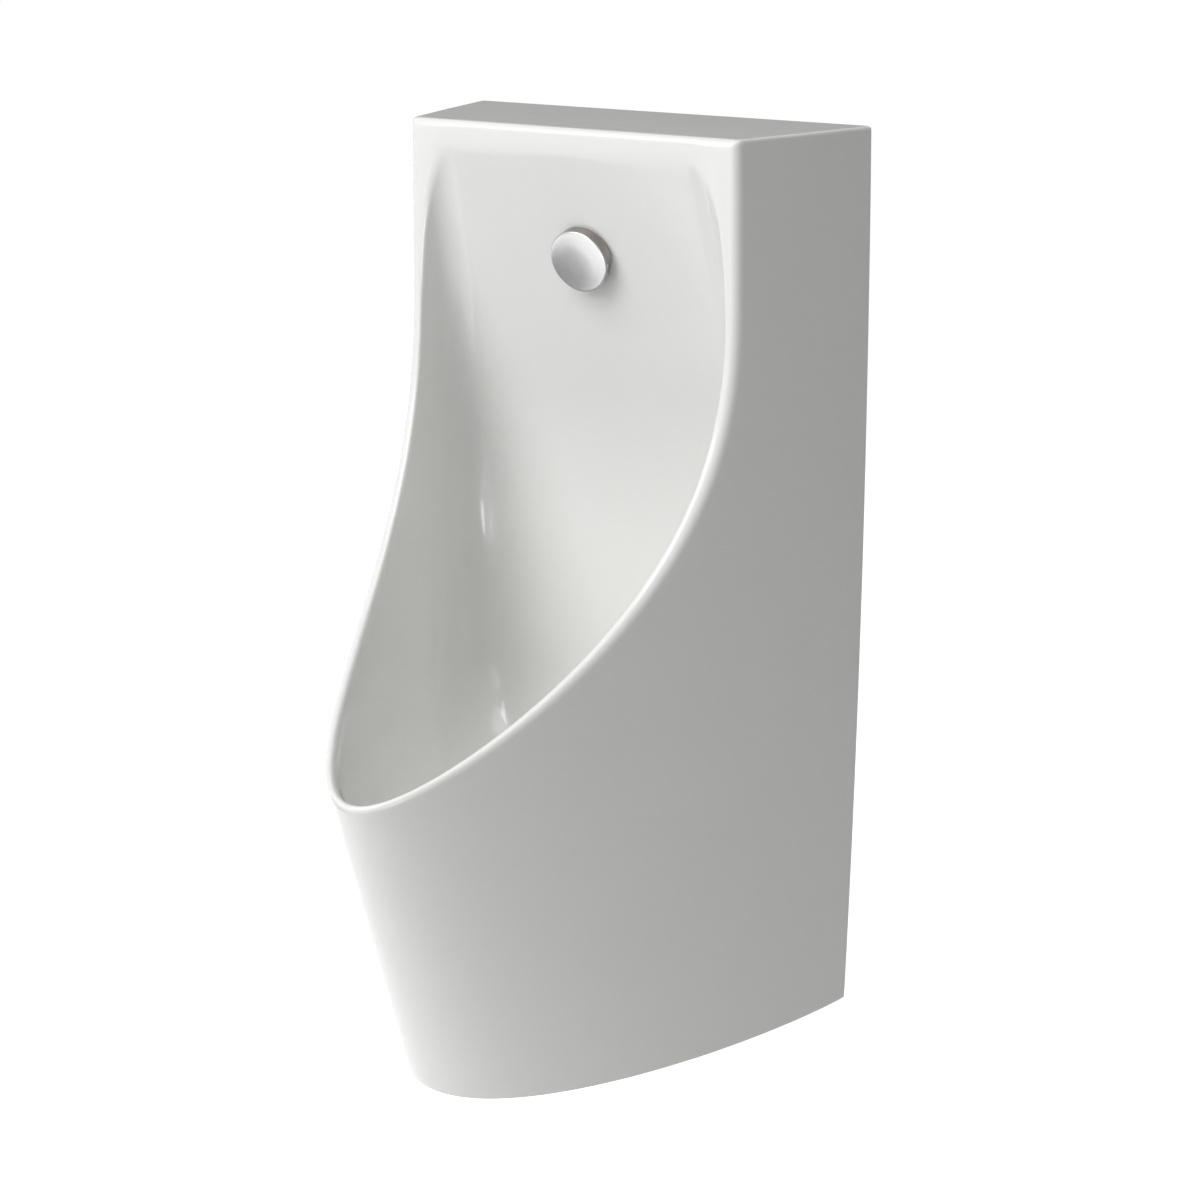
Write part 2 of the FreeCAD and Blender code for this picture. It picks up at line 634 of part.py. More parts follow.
pipeBore = "pipeRadius + fit"
socketOuter = "pipeRadius + fit + socketWall"
onOutlet(tube("outlet_pipe", "pipeRadius - pipeWall", "pipeRadius", "0",
              "socketEnd + socketDeep - slip"), "0")
onOutlet(tube("outlet_seal", pipeBore, socketOuter, "socketEnd - sealThick", "socketEnd"), "0")
outletNut = onOutlet(turned("outlet_nut", [
    ("pipeRadius + 2 * fit", "socketEnd - sealThick - 4"),
    (socketOuter + " + nutRidge - 2", "socketEnd - sealThick - 4"),
    (socketOuter + " + nutRidge", "socketEnd - sealThick - 2"),
    (socketOuter + " + nutRidge", "socketEnd + 18"), (socketOuter + " + fit", "socketEnd + 18"),
    (socketOuter + " + fit", "socketEnd - sealThick"),
    ("pipeRadius + 2 * fit", "socketEnd - sealThick")]), "0")
flute = outlineSketch(outletNut, "outlet_nut_flute", "XY_Plane", [
    (socketOuter + " + nutRidge - 1.6", "-2"), (socketOuter + " + nutRidge + 2", "-4"),
    (socketOuter + " + nutRidge + 2", "4"), (socketOuter + " + nutRidge - 1.6", "2")])
fluteCut = outletNut.newObject("PartDesign::Pocket", "outlet_nut_flute_cut")
fluteCut.Profile = flute
fluteCut.Reversed = True
bind(fluteCut, "Length", "socketEnd + 30")
doc.recompute()
flutes = outletNut.newObject("PartDesign::PolarPattern", "outlet_nut_flutes")
flutes.Originals = [fluteCut]
flutes.Axis = (flute, ["N_Axis"])
flutes.Angle = 360
flutes.Occurrences = 14
outletNut.Tip = flutes
onOutlet(turned("wall_rose", [
    (pipeBore, "0"), ("roseRadius", "0"), ("roseRadius", "roseThick - 1.5"),
    ("roseRadius - 3", "roseThick"), ("pipeRadius + 6", "roseThick + 1"),
    ("pipeRadius + 4", "roseSleeve"), (pipeBore, "roseSleeve")]), "0")

# trap insert: a funnel with a dip tube, dropped in from above, sealed by a ring in a groove
insertTop = rebateBase + " + 2"
insertFoot = rebateBase + " - insertDrop"
skirt = "neckRadius - neckWall - slip"
ringHeight = rebateBase + " - 7"
grooveFloor = skirt + " - 2 * ringRadius - fit"
grooveTop = ringHeight + " + ringRadius + fit"
grooveFoot = ringHeight + " - ringRadius - fit"
onWaste(turned("trap_insert", [
    ("dipRadius - insertWall", "dipEnd"), ("dipRadius", "dipEnd"),
    ("dipRadius", insertFoot + " - 8"), (grooveFloor, insertFoot),
    (skirt, insertFoot + " + 1"), (skirt, grooveFoot), (grooveFloor, grooveFoot),
    (grooveFloor, grooveTop), (skirt, grooveTop), (skirt, rebateBase),
    (rebate + " - slip", rebateBase), (rebate + " - slip", insertTop),
    (grooveFloor + " - insertWall", insertTop),
    (grooveFloor + " - insertWall", insertFoot + " + 3"),
    ("dipRadius - insertWall", insertFoot + " - 6")]))
ring = doc.addObject("Part::Torus", "insert_ring")
ring.Label = "insert_ring"
bind(ring, "Radius1", skirt + " - ringRadius")
bind(ring, "Radius2", "ringRadius")
onWaste(ring, ringHeight)


def strainerShape():
    """Crowned disc with rings of drain holes, resting on the insert's flange."""
    radius = worked(rebate + " - slip")
    thick, rise = size("strainerThick"), size("strainerRise")
    ball = ((radius - 6) ** 2 + rise ** 2) / (2 * rise)
    outline = [Vector(0, 0, rise), Vector(radius - 6, 0, 0), Vector(radius, 0, 0),
               Vector(radius, 0, thick), Vector(radius - 6, 0, thick),
               Vector(0, 0, rise + thick)]
    bulge = Vector((radius - 6) / 2, 0, rise - (ball - math.sqrt(ball ** 2
                                                                - ((radius - 6) / 2) ** 2)))
    edges = [Part.Arc(outline[0], bulge, outline[1]).toShape(),
             Part.makeLine(outline[1], outline[2]), Part.makeLine(outline[2], outline[3]),
             Part.makeLine(outline[3], outline[4]),
             Part.Arc(outline[4], bulge + Vector(0, 0, thick), outline[5]).toShape(),
             Part.makeLine(outline[5], outline[0])]
    disc = Part.Face(Part.Wire(edges)).revolve(Vector(), Vector(0, 0, 1), 360)
    pitch = 2 * size("strainerHole") + 2.6
    drills = []
    for ring in range(int((radius - 8) / pitch) + 1):
        count = max(6 * ring, 1)
        for k in range(count):
            turn = 2 * math.pi * k / count
            drills.append(Part.makeCylinder(
                size("strainerHole"), 20,
                Vector(ring * pitch * math.cos(turn), ring * pitch * math.sin(turn), -5)))
    return disc.cut(drills)


strainer = featureFrom("strainer", strainerShape())
onWaste(strainer, insertTop)


# ---------------------------------------------------------------- hangers and foot brackets

def grouped(label, pieces):
    """Like pieces that share a node: one compound of their solids, tied to them."""
    group = doc.addObject("Part::Compound", label)
    group.Label = label
    group.Links = pieces
    return group


def pair(label, make, span):
    """The same piece on the left and on the right."""
    sides = []
    for side, across in (("left", "-%s / 2" % span), ("right", "%s / 2" % span)):
        piece = make(label + "_" + side)
        bind(piece, "Placement.Base.x", across)
        sides.append(piece)
    return grouped(label, sides)


print("hangers")
armTop = "ribHeight - padThick"
armFoot = "ribHeight - padThick - plateThick"
plateTop = "ribHeight + 4"
hookBack = "ribBack + ribThick + hookGap"


def hangerBracket(name):
    """Wall plate, level arm under the rib and a hook in front of it, bent from one strip."""
    body = extruded(name, "YZ_Plane", [
        ("0", plateTop + " - hangerTall"), ("0", plateTop), ("-plateThick", plateTop),
        ("-plateThick", armTop), ("-(%s)" % hookBack, armTop),
        ("-(%s)" % hookBack, armTop + " + hookRise"),
        ("-(%s + plateThick)" % hookBack, armTop + " + hookRise"),
        ("-(%s + plateThick)" % hookBack, armFoot), ("-plateThick", armFoot),
        ("-plateThick", plateTop + " - hangerTall")], "hangerWide", middle=True)
    low = plateTop + " - hangerTall + screwFromEdge"
    screws = body.newObject("Sketcher::SketchObject", name + "_screws")
    screws.AttachmentSupport = [(originPlane(body, "XZ_Plane"), "")]
    screws.MapMode = "FlatFace"
    for height in (low, low + " + screwPitch"):
        index = screws.addGeometry(
            Part.Circle(Vector(0, worked(height), 0), Vector(0, 0, 1), size("screwHole")), False)
        bindSpot(screws, index, 3, "0", height)
        number = screws.addConstraint(Sketcher.Constraint("Radius", index, size("screwHole")))
        bind(screws, "Constraints[%d]" % number, "screwHole")
    holes = body.newObject("PartDesign::Pocket", name + "_holes")
    holes.Profile = screws
    bind(holes, "Length", "plateThick + 1")
    holes.Midplane = False
    holes.Reversed = True
    return body


def hangerPad(name):
    return extruded(name, "YZ_Plane", [
        ("-ribBack", armTop), ("-(ribBack + ribThick)", armTop),
        ("-(ribBack + ribThick)", "ribHeight"), ("-ribBack", "ribHeight")],
        "hangerWide - 4", middle=True)


pair("hanger_bracket", hangerBracket, "hangerSpan")
pair("hanger_pad", hangerPad, "hangerSpan")

legTop = "footHeight + plateThick"
lugFoot = "footHeight + plateThick + padThick"
lugTop = "footHeight + plateThick + padThick + lugThick"
boltHole = "boltRadius + boltHoleGap"


def footBracket(name):
    """Steel angle: one leg on the wall, the other level under the china lug."""
    body = extruded(name, "YZ_Plane", [
        ("0", "footHeight"), ("0", "footHeight + footTall"),
        ("-plateThick", "footHeight + footTall"), ("-plateThick", legTop),
        ("-footReach", legTop), ("-footReach", "footHeight")], "footWide", middle=True)
    wallScrew = outlineCircle(body, name + "_wall_screw", "XZ_Plane",
                              "0", "footHeight + footHoleUp", "screwHole")
    pocketThrough(body, wallScrew, "plateThick + 1", True)
    bolt = outlineCircle(body, name + "_bolt", "XY_Plane", "0", "-boltDepth", boltHole)
    pocketThrough(body, bolt, "footHeight + plateThick + 1", True)
    return body


def outlineCircle(body, name, role, a, b, radius):
    sketch = body.newObject("Sketcher::SketchObject", name)
    sketch.AttachmentSupport = [(originPlane(body, role), "")]
    sketch.MapMode = "FlatFace"
    index = sketch.addGeometry(
        Part.Circle(Vector(worked(a), worked(b), 0), Vector(0, 0, 1), worked(radius)), False)
    bindSpot(sketch, index, 3, a, b)
    number = sketch.addConstraint(Sketcher.Constraint("Radius", index, worked(radius)))
    bind(sketch, "Constraints[%d]" % number, radius)
    return sketch


def pocketThrough(body, sketch, length, backwards):
    pocket = body.newObject("PartDesign::Pocket", sketch.Name + "_cut")
    pocket.Profile = sketch
    bind(pocket, "Length", length)
    pocket.Reversed = backwards
    return pocket


def footPad(name):
    body = extruded(name, "XY_Plane", [
        ("-footWide / 2", "-ribBack"), ("-footWide / 2", "-footReach"),
        ("footWide / 2", "-footReach"), ("footWide / 2", "-ribBack")], "padThick",
        [("0", "-boltDepth", boltHole)])
    bind(body, "Placement.Base.z", legTop)
    return body


def onBolt(piece, height):
    bind(piece, "Placement.Base.y", "-boltDepth")
    bind(piece, "Placement.Base.z", height)
    return piece


def footBolt(name):
    """Hex head under the bracket and a shank up through bracket, pad and lug."""
    body = extruded(name, "XY_Plane", hexagon("2 * boltRadius + boltHead - 1"), "boltHeadThick")
    shank = outlineCircle(body, name + "_shank", "XY_Plane", "0", "0", "boltRadius")
    pad = body.newObject("PartDesign::Pad", name + "_shank_pad")
    pad.Profile = shank
    bind(pad, "Length", "boltHeadThick + plateThick + padThick + lugThick"
                                " + washerThick + boltHeadThick + 2")
    return onBolt(body, "footHeight - boltHeadThick")


def footWasher(name):
    return onBolt(tube(name, "boltRadius + fit", "washerRadius", "0", "washerThick"), lugTop)


def footNut(name):
    body = extruded(name, "XY_Plane", hexagon("2 * boltRadius + boltHead - 1"), "boltHeadThick",
                    [("0", "0", "boltRadius + fit")])
    return onBolt(body, lugTop + " + washerThick")


pair("foot_bracket", footBracket, "footSpan")
pair("foot_pad", footPad, "footSpan")
pair("foot_bolt", footBolt, "footSpan")
pair("foot_washer", footWasher, "footSpan")
pair("foot_nut", footNut, "footSpan")


# ---------------------------------------------------------------- check and write

doc.recompute()
nodes = ["china_body", "spreader_gasket", "spreader_body", "spreader_cap", "panel_washer",
         "slip_washer", "spreader_lock_nut", "supply_washer", "supply_union_nut", "supply_pipe",
         "waste_gasket", "waste_flange", "trap_gasket", "trap_body", "outlet_pipe",
         "outlet_seal", "outlet_nut", "wall_rose", "trap_insert", "insert_ring", "strainer",
         "hanger_bracket", "hanger_pad", "foot_bracket", "foot_pad", "foot_bolt", "foot_washer",
         "foot_nut"]
for item in doc.Objects:
    if "Invalid" in item.State or "Error" in item.State:
        raise RuntimeError("failed: %s %s" % (item.Name, item.State))
os.makedirs("parts", exist_ok=True)
for node in nodes:
    piece = doc.getObjectsByLabel(node)[0]
    if piece.Shape.isNull() or not piece.Shape.isValid():
        raise RuntimeError("bad shape: %s" % node)
    piece.Shape.exportStep("parts/%s.step" % node)
    print("%-20s solids %d volume %.0f" % (node, len(piece.Shape.Solids), piece.Shape.Volume))
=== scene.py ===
import math
import bmesh
import bpy
import numpy as np
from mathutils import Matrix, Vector


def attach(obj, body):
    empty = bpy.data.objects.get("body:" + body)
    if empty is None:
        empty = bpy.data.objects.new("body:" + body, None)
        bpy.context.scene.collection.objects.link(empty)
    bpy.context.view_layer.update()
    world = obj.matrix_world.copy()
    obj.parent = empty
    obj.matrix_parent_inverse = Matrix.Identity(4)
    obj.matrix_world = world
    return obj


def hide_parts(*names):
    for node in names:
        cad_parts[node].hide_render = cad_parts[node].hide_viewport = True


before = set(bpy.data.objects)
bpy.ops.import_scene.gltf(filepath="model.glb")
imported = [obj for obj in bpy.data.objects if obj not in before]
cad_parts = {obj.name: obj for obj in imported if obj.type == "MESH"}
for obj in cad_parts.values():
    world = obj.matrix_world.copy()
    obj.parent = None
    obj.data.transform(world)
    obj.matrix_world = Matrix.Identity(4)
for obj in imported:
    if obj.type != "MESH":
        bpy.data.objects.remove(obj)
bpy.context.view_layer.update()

# Wall hung urinal in white vitreous china. Lengths in the dictionaries are millimetres.
# "Depth" is the distance out from the wall, so a spot's y is minus its depth.
print("frame loaded:", len(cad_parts), "nodes")


# --- finishes

class Link:  # an output in a finish's node tree, so that shader sums read as Python sums
    def __init__(self, finish, socket):
        self.finish, self.socket = finish, socket

    def reckon(self, operation, first, second=0.0):
        return self.finish.reckon(operation, first, second)

    def __add__(self, other):
        return self.reckon("ADD", self, other)

    def __sub__(self, other):
        return self.reckon("SUBTRACT", self, other)

    def __rsub__(self, other):
        return self.reckon("SUBTRACT", other, self)

    def __mul__(self, other):
        return self.reckon("MULTIPLY", self, other)

    def __gt__(self, other):
        return self.reckon("GREATER_THAN", self, other)

    __radd__, __rmul__ = __add__, __mul__


class Finish:  # one material, or the world, built up from its nodes
    def __init__(self, name, holder=None):
        self.material = holder or bpy.data.materials.new(name)
        self.material.use_nodes = True
        self.tree = self.material.node_tree
        self.tree.nodes.clear()

    def node(self, kind, settings=None, sockets=None, out=0):
        # settings first (a ramp's stops among them), then the values or links of the sockets
        made = self.tree.nodes.new(kind)
        for name, value in (settings or {}).items():
            if name == "stops":
                ramp = made.color_ramp.elements
                while len(ramp) < len(value):
                    ramp.new(0.5)
                for element, (spot, shade) in zip(ramp, value):
                    element.position, element.color = spot, shade
            else:
                setattr(made, name, value)
        for name, value in (sockets or {}).items():
            if isinstance(value, Link):
                self.tree.links.new(value.socket, made.inputs[name])
            else:
                made.inputs[name].default_value = value
        return Link(self, made.outputs[out]) if len(made.outputs) else None

    def reckon(self, operation, first, second=0.0):
        return self.node("ShaderNodeMath", {"operation": operation}, {0: first, 1: second})

    def spot(self, turn=(0, 0, 0), stretch=(1, 1, 1), shift=(0, 0, 0)):
        where = self.node("ShaderNodeTexCoord", out="Object")
        return self.node("ShaderNodeMapping", {"vector_type": "POINT"},
                         {"Vector": where, "Location": shift, "Rotation": turn,
                          "Scale": stretch})

    def noise(self, where, size, detail=2.0, rough=0.5):
        # size is one blotch's width in metres
        return self.node("ShaderNodeTexNoise", {"noise_dimensions": "3D"},
                         {"Vector": where, "Scale": 1 / size, "Detail": detail,
                          "Roughness": rough}, out="Fac")

    def mixed(self, share, first, second):
        return self.node("ShaderNodeMix", {"data_type": "RGBA"},
                         {0: share, 6: first, 7: second}, out=2)

    def bump(self, height, reach, strength=1.0):
        return self.node("ShaderNodeBump", None,
                         {"Strength": strength, "Distance": reach, "Height": height},
                         out="Normal")

    def surface(self, sockets):
        shader = self.node("ShaderNodeBsdfPrincipled", None, sockets)
        self.node("ShaderNodeOutputMaterial", None, {"Surface": shader})
        return self.material


def grey(level, warmth=0.0):
    return (level * (1 + warmth), level, level * (1 - warmth), 1.0)


def glazeFinish(look):
    # fired glaze: a faint cloudiness, a very low orange peel, and bare ground china at the wall
    finish = Finish("glaze")
    where = finish.spot()
    cloud = finish.noise(where, look["cloud"], 3.0)
    peel = finish.noise(where, look["peel"], 1.0, 0.3)
    speck = finish.noise(where, look["speck"], 2.0)
    depth = finish.node("ShaderNodeSeparateXYZ", None, {"Vector": where}, out="Y")
    bare = depth > -look["bareEdge"]
    colour = finish.mixed(cloud, look["shade"][0], look["shade"][1])
    ground = finish.mixed(speck, look["ground"][0], look["ground"][1])
    return finish.surface({
        "Base Color": finish.mixed(bare, colour, ground),
        "Roughness": (cloud * 0.05 + look["rough"]) * (1 - bare) + bare * look["groundRough"],
        "IOR": 1.52, "Specular IOR Level": 0.5,
        "Coat Weight": (1 - bare) * look["coat"], "Coat Roughness": 0.03, "Coat IOR": 1.5,
        "Normal": finish.bump(peel + bare * speck, look["peelHeight"], 0.6)})


def metalFinish(name, dark, light, look):
    # plated or bare metal: fine lines drawn along one way, over broad dull and bright places
    finish = Finish(name)
    lines = finish.noise(finish.spot(stretch=look["stretch"]), look["line"], 4.0, 0.7)
    patch = finish.noise(finish.spot(), look["patch"], 2.0)
    wear = patch * 0.6 + lines * 0.4
    return finish.surface({
        "Base Color": finish.mixed(wear, dark, light), "Metallic": 1.0,
        "Roughness": lines * look["spread"] + look["rough"],
        "Normal": finish.bump(lines, look["height"], 0.5)})


def capFinish(look):
    # satin chrome whose skirt, lower along the cap's axis than its face, is duller, and darker by
    # painted shade
    finish = Finish("capChrome")
    where = finish.spot()
    along = finish.node("ShaderNodeVectorMath", {"operation": "DOT_PRODUCT"},
                        {0: where, 1: look["axis"]}, out="Value") - look["skirtTop"]
    edge = finish.node("ShaderNodeMapRange", None, {"Value": along, "From Min": -look["blend"],
                                                    "From Max": 0.0}, out="Result")
    cloud = finish.noise(where, look["cloud"], 2.0)
    grain = finish.noise(where, look["grain"], 3.0, 0.6)
    face = finish.mixed(cloud, look["faceDark"], look["faceLight"])
    # painted shade: the skirt, below the face along the cap's axis, takes a darker, browner pair
    # of colours than the face
    skirt = finish.mixed(cloud, look["skirtPaintedShadeDark"], look["skirtPaintedShadeLight"])
    return finish.surface({
        "Base Color": finish.mixed(edge, skirt, face), "Metallic": 1.0,
        "Roughness": grain * look["spread"] + (1 - edge) * look["skirtRough"] + look["rough"],
        "Normal": finish.bump(grain, look["height"], 0.5)})


def spangleFinish(look):
    # zinc plated steel: dull crystals a few millimetres wide, each a little lighter or darker
    finish = Finish("zincSteel")
    where = finish.spot()
    grain = finish.node("ShaderNodeTexVoronoi", {"feature": "F1"},
                        {"Vector": where, "Scale": 1 / look["grain"]}, out="Distance")
    stain = finish.noise(where, look["stain"], 3.0)
    return finish.surface({
        "Base Color": finish.mixed(grain * 0.7 + stain * 0.3, look["dark"], look["light"]),
        "Metallic": 1.0, "Roughness": grain * 0.15 + stain * 0.12 + look["rough"],
        "Normal": finish.bump(stain, look["height"], 0.4)})


def mouldedFinish(name, dark, light, look):
    # moulded rubber or plastic: a fine pebble in the surface and soft blotches of colour
    finish = Finish(name)
    where = finish.spot()
    pebble = finish.noise(where, look["pebble"], 3.0, 0.6)
    blotch = finish.noise(where, look["blotch"], 2.0)
    return finish.surface({
        "Base Color": finish.mixed(blotch * 0.7 + pebble * 0.3, dark, light),
        "Roughness": blotch * 0.12 + look["rough"], "IOR": 1.5,
        "Normal": finish.bump(pebble, look["height"], 0.4)})


# where the spreader's axis leaves the bowl's leaning back, and how far that leans
panel = {"tilt": 17, "flushDepth": 103.35, "flushHeight": 561}
panelLean = math.radians(panel["tilt"])
flushWay = (0, -math.cos(panelLean), -math.sin(panelLean))
# the cap, in millimetres out along that axis
capLook = {"radius": 22.5, "inner": 20.05, "back": 9.2, "edge": 11, "crown": 12.6,
           "skirtFoot": 2.2, "edgeRound": 0.9, "faceStart": 10.4}

# sizes of a pattern and heights of a bump are metres
glazeLook = {"shade": ((0.8, 0.804, 0.786, 1), (0.828, 0.832, 0.816, 1)), "cloud": 0.09,
             "peel": 0.016, "peelHeight": 0.00012, "rough": 0.09, "coat": 0.15,
             "bareEdge": 0.0006, "speck": 0.0012,
             "ground": (grey(0.58, 0.05), grey(0.7, 0.04)), "groundRough": 0.75}
# the skirt's darker, browner pair of colours is painted shade
capFinishLook = {"axis": flushWay, "blend": 0.0006, "cloud": 0.014, "grain": 0.0007,
                 "faceDark": (0.55, 0.545, 0.55, 1), "faceLight": (0.62, 0.615, 0.625, 1),
                 "skirtPaintedShadeDark": (0.24, 0.22, 0.215, 1), "skirtPaintedShadeLight": (0.34, 0.32, 0.31, 1),
                 "rough": 0.22, "spread": 0.06, "skirtRough": 0.1, "height": 0.000006,
                 "skirtTop": (panel["flushDepth"] * math.cos(panelLean)
                              - panel["flushHeight"] * math.sin(panelLean)
                              + capLook["faceStart"]) / 1000}
chromeLook = {"stretch": (1, 1, 1), "line": 0.0009, "patch": 0.012, "spread": 0.12,
              "rough": 0.16, "height": 0.00001}
steelLook = {"stretch": (1, 1, 12), "line": 0.004, "patch": 0.02, "spread": 0.16,
             "rough": 0.24, "height": 0.00004}
brassLook = {"stretch": (1, 9, 1), "line": 0.004, "patch": 0.01, "spread": 0.2,
             "rough": 0.3, "height": 0.00004}

finishes = {
    "glaze": glazeFinish(glazeLook),
    "chrome": metalFinish("chrome", (0.55, 0.54, 0.55, 1), (0.74, 0.73, 0.74, 1), chromeLook),
    "cap": capFinish(capFinishLook),
    "stainless": metalFinish("stainless", (0.5, 0.49, 0.47, 1), (0.66, 0.65, 0.63, 1),
                             steelLook),
    "brass": metalFinish("brass", (0.53, 0.36, 0.14, 1), (0.74, 0.55, 0.27, 1), brassLook),
    "zinc_steel": spangleFinish({"grain": 0.004, "stain": 0.03, "rough": 0.3, "height": 0.0002,
                                 "dark": (0.46, 0.47, 0.5, 1), "light": (0.68, 0.69, 0.7, 1)}),
    "black_rubber": mouldedFinish("blackRubber", grey(0.014), grey(0.03),
                                  {"pebble": 0.0008, "blotch": 0.02, "rough": 0.62,
                                   "height": 0.0001}),
    "grey_rubber": mouldedFinish("greyRubber", grey(0.17), grey(0.23),
                                 {"pebble": 0.0009, "blotch": 0.02, "rough": 0.58,
                                  "height": 0.0001}),
    "white_plastic": mouldedFinish("whitePlastic", grey(0.68, 0.015), grey(0.76, 0.01),
                                   {"pebble": 0.0016, "blotch": 0.03, "rough": 0.28,
                                    "height": 0.00005}),
    "grey_plastic": mouldedFinish("greyPlastic", grey(0.30), grey(0.37),
                                  {"pebble": 0.0014, "blotch": 0.025, "rough": 0.34,
                                   "height": 0.00005}),
}
print("finishes:", len(finishes))


# --- surfaces

def placed(x, depth, z):
    return np.stack(np.broadcast_arrays(x, -depth, z), axis=-1) / 1000


def pieceOf(name, sheets, slot, body="root", replaced=(), sharp=40, normalsOf=None,
            finish=None):
    # a sheet is a grid of spots, rows by places around, joined up both ways into a closed skin;
    # its faces are turned outwards by the sign of the volume that they enclose. The finish is
    # the slot's own unless another is named
    spots, faces, first = [], [], 0
    for grid in sheets:
        rows, around = grid.shape[:2]
        index = np.arange(rows * around).reshape(rows, around)
        beside, above = np.roll(index, -1, axis=1), np.roll(index, -1, axis=0)
        quads = np.stack([index, beside, np.roll(beside, -1, axis=0), above], axis=-1)
        if np.ptp(grid[0], axis=0).max() < 1e-9:  # from pole to pole, so not joined end to end
            quads = quads[:-1]
        quads, flat = quads.reshape(-1, 4), grid.reshape(-1, 3)
        a, b, c, d = (flat[quads[:, k]] for k in range(4))
        volume = np.einsum("ij,ij->", a, np.cross(b, c)) + np.einsum("ij,ij->", a, np.cross(c, d))
        faces.append((quads if volume > 0 else quads[:, ::-1]) + first)
        spots.append(flat)
        first += rows * around
    mesh = bpy.data.meshes.new(name)
    mesh.from_pydata(np.concatenate(spots).tolist(), [], np.concatenate(faces).tolist())
    tidy = bmesh.new()
    tidy.from_mesh(mesh)
    bmesh.ops.remove_doubles(tidy, verts=tidy.verts, dist=1e-6)
    tidy.to_mesh(mesh)
    tidy.free()
    mesh.shade_smooth()
    mesh.set_sharp_from_angle(angle=math.radians(sharp))
    if normalsOf:
        corners = np.empty(3 * len(mesh.vertices), np.float32)
        mesh.vertices.foreach_get("co", corners)
        mesh.normals_split_custom_set_from_vertices(
            normalsOf(corners.reshape(-1, 3).astype(float) * (1000, -1000, 1000)).tolist())
    mesh.materials.append(finishes[finish or slot])
    made = bpy.data.objects.new(name, mesh)
    bpy.context.scene.collection.objects.link(made)
    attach(made, body)
    if replaced:
        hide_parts(*replaced)
    return made


def rounded(corners, steps=4):
    # outline of (radius, height, round) corners, closed: each corner is drawn as a quadratic
    # curve between the spots where a round of that size would touch its two sides
    outline = np.array([corner[:2] for corner in corners], float)
    size = np.array([corner[2] for corner in corners], float)
    back, on = np.roll(outline, 1, axis=0) - outline, np.roll(outline, -1, axis=0) - outline
    backLong, onLong = np.linalg.norm(back, axis=1), np.linalg.norm(on, axis=1)
    reach = np.minimum(size, 0.49 * np.minimum(backLong, onLong))[:, None]
    start, end = outline + back / backLong[:, None] * reach, outline + on / onLong[:, None] * reach
    share = np.linspace(0, 1, steps)[None, :, None]
    curve = ((1 - share) ** 2 * start[:, None] + 2 * share * (1 - share) * outline[:, None]
             + share ** 2 * end[:, None])
    return curve.reshape(-1, 2)


def turnedSheet(corners, frameOf, around=96, shape=None):
    # the outline carried once round an axis; shape(angle, radius, along) may change both
    outline = rounded(corners)
    outline = outline[np.linalg.norm(outline - np.roll(outline, 1, axis=0), axis=1) > 1e-6]
    if corners[0][0] == 0:  # touches the axis, so it starts and ends there
        outline = np.concatenate([[corners[0][:2]], outline[outline[:, 0] > 0.01],
                                  [corners[-1][:2]]])
    angle = np.linspace(0, 2 * math.pi, around, endpoint=False)
    radius, along = outline[:, :1] * np.ones(around), outline[:, 1:] * np.ones(around)
    if shape:
        radius, along = shape(angle[None, :], radius, along)
    local = np.stack([radius * np.cos(angle), radius * np.sin(angle), along], axis=-1)
    origin, across, up, out = (np.array(v, float) for v in frameOf)
    return (origin + local @ np.stack([across, up, out])) / 1000


def blockSheet(corners, low, high, bevel):
    # an outline of (x, depth, round) corners raised from one height to another, bevelled
    spots = np.array(corners, float)
    middle = spots[:, :2].mean(axis=0)
    drawn = spots.copy()
    drawn[:, :2] -= np.sign(spots[:, :2] - middle) * bevel
    wide, narrow = rounded(spots), rounded(drawn)
    rows = [(middle + 0 * wide, low), (narrow, low), (wide, low + bevel), (wide, high - bevel),
            (narrow, high), (middle + 0 * wide, high)]
    return np.stack([placed(row[:, 0], row[:, 1], np.full(len(row), float(z)))
                     for row, z in rows])


# --- china body

china = {"height": 650, "wallHalf": 164.4, "bow": 4, "footDepth": 288.5, "crownDepth": 531.2,
         "footTaper": 0.58, "crownTaper": 1.39, "topDepth": 127.5, "curveStart": 555,
         "lipHeight": 245, "lipReach": 252.5, "rimPower": 2.7, "rimWall": 9, "skirtWall": 14,
         "bowlWall": 12, "panelTop": 640, "panelFoot": 460, "panelTurn": 110,
         "floor": 150, "floorSlope": 0.14, "floorRound": 78, "upperRound": 34,
         "lowerRound": 76, "wasteDepth": 200, "seatRadius": 52, "seat": 146, "hole": 43,
         "holeFoot": 139, "boss": 62, "bossFoot": 132, "topRound": 3, "rimRound": 7,
         "innerEdge": 4, "lipEdge": 13, "softFrom": 520, "footRound": 2, "creaseRound": 6,
         "wallRound": 1.5, "innerRound": 16}
# how the skin is laid out: the spot that its rays start from, the height that the rim's rays
# turn about, the height where the foot's columns begin, the shortest and the usual row in
# millimetres, and for each part its rays and the rows that are kept
layout = {"columns": 340, "middle": (0.0, 160.0, 320.0), "rimMiddle": 450, "rimReach": 460.0,
          "footFrom": 330, "fine": 1.6, "usual": 3.0, "shell": (160, 56), "rim": 13,
          "bowl": (260, 84), "behind": 44, "lining": (120, 40), "edge": 8,
          "bend": 1.1, "bendWay": (0, -1, -0.5), "spread": 2.2}


def eased(a, b, width):
    # the larger of two values, rounded where they are within width of each other
    near = np.maximum(width - np.abs(a - b), 0) / width
    return np.maximum(a, b) + near * near * width / 4


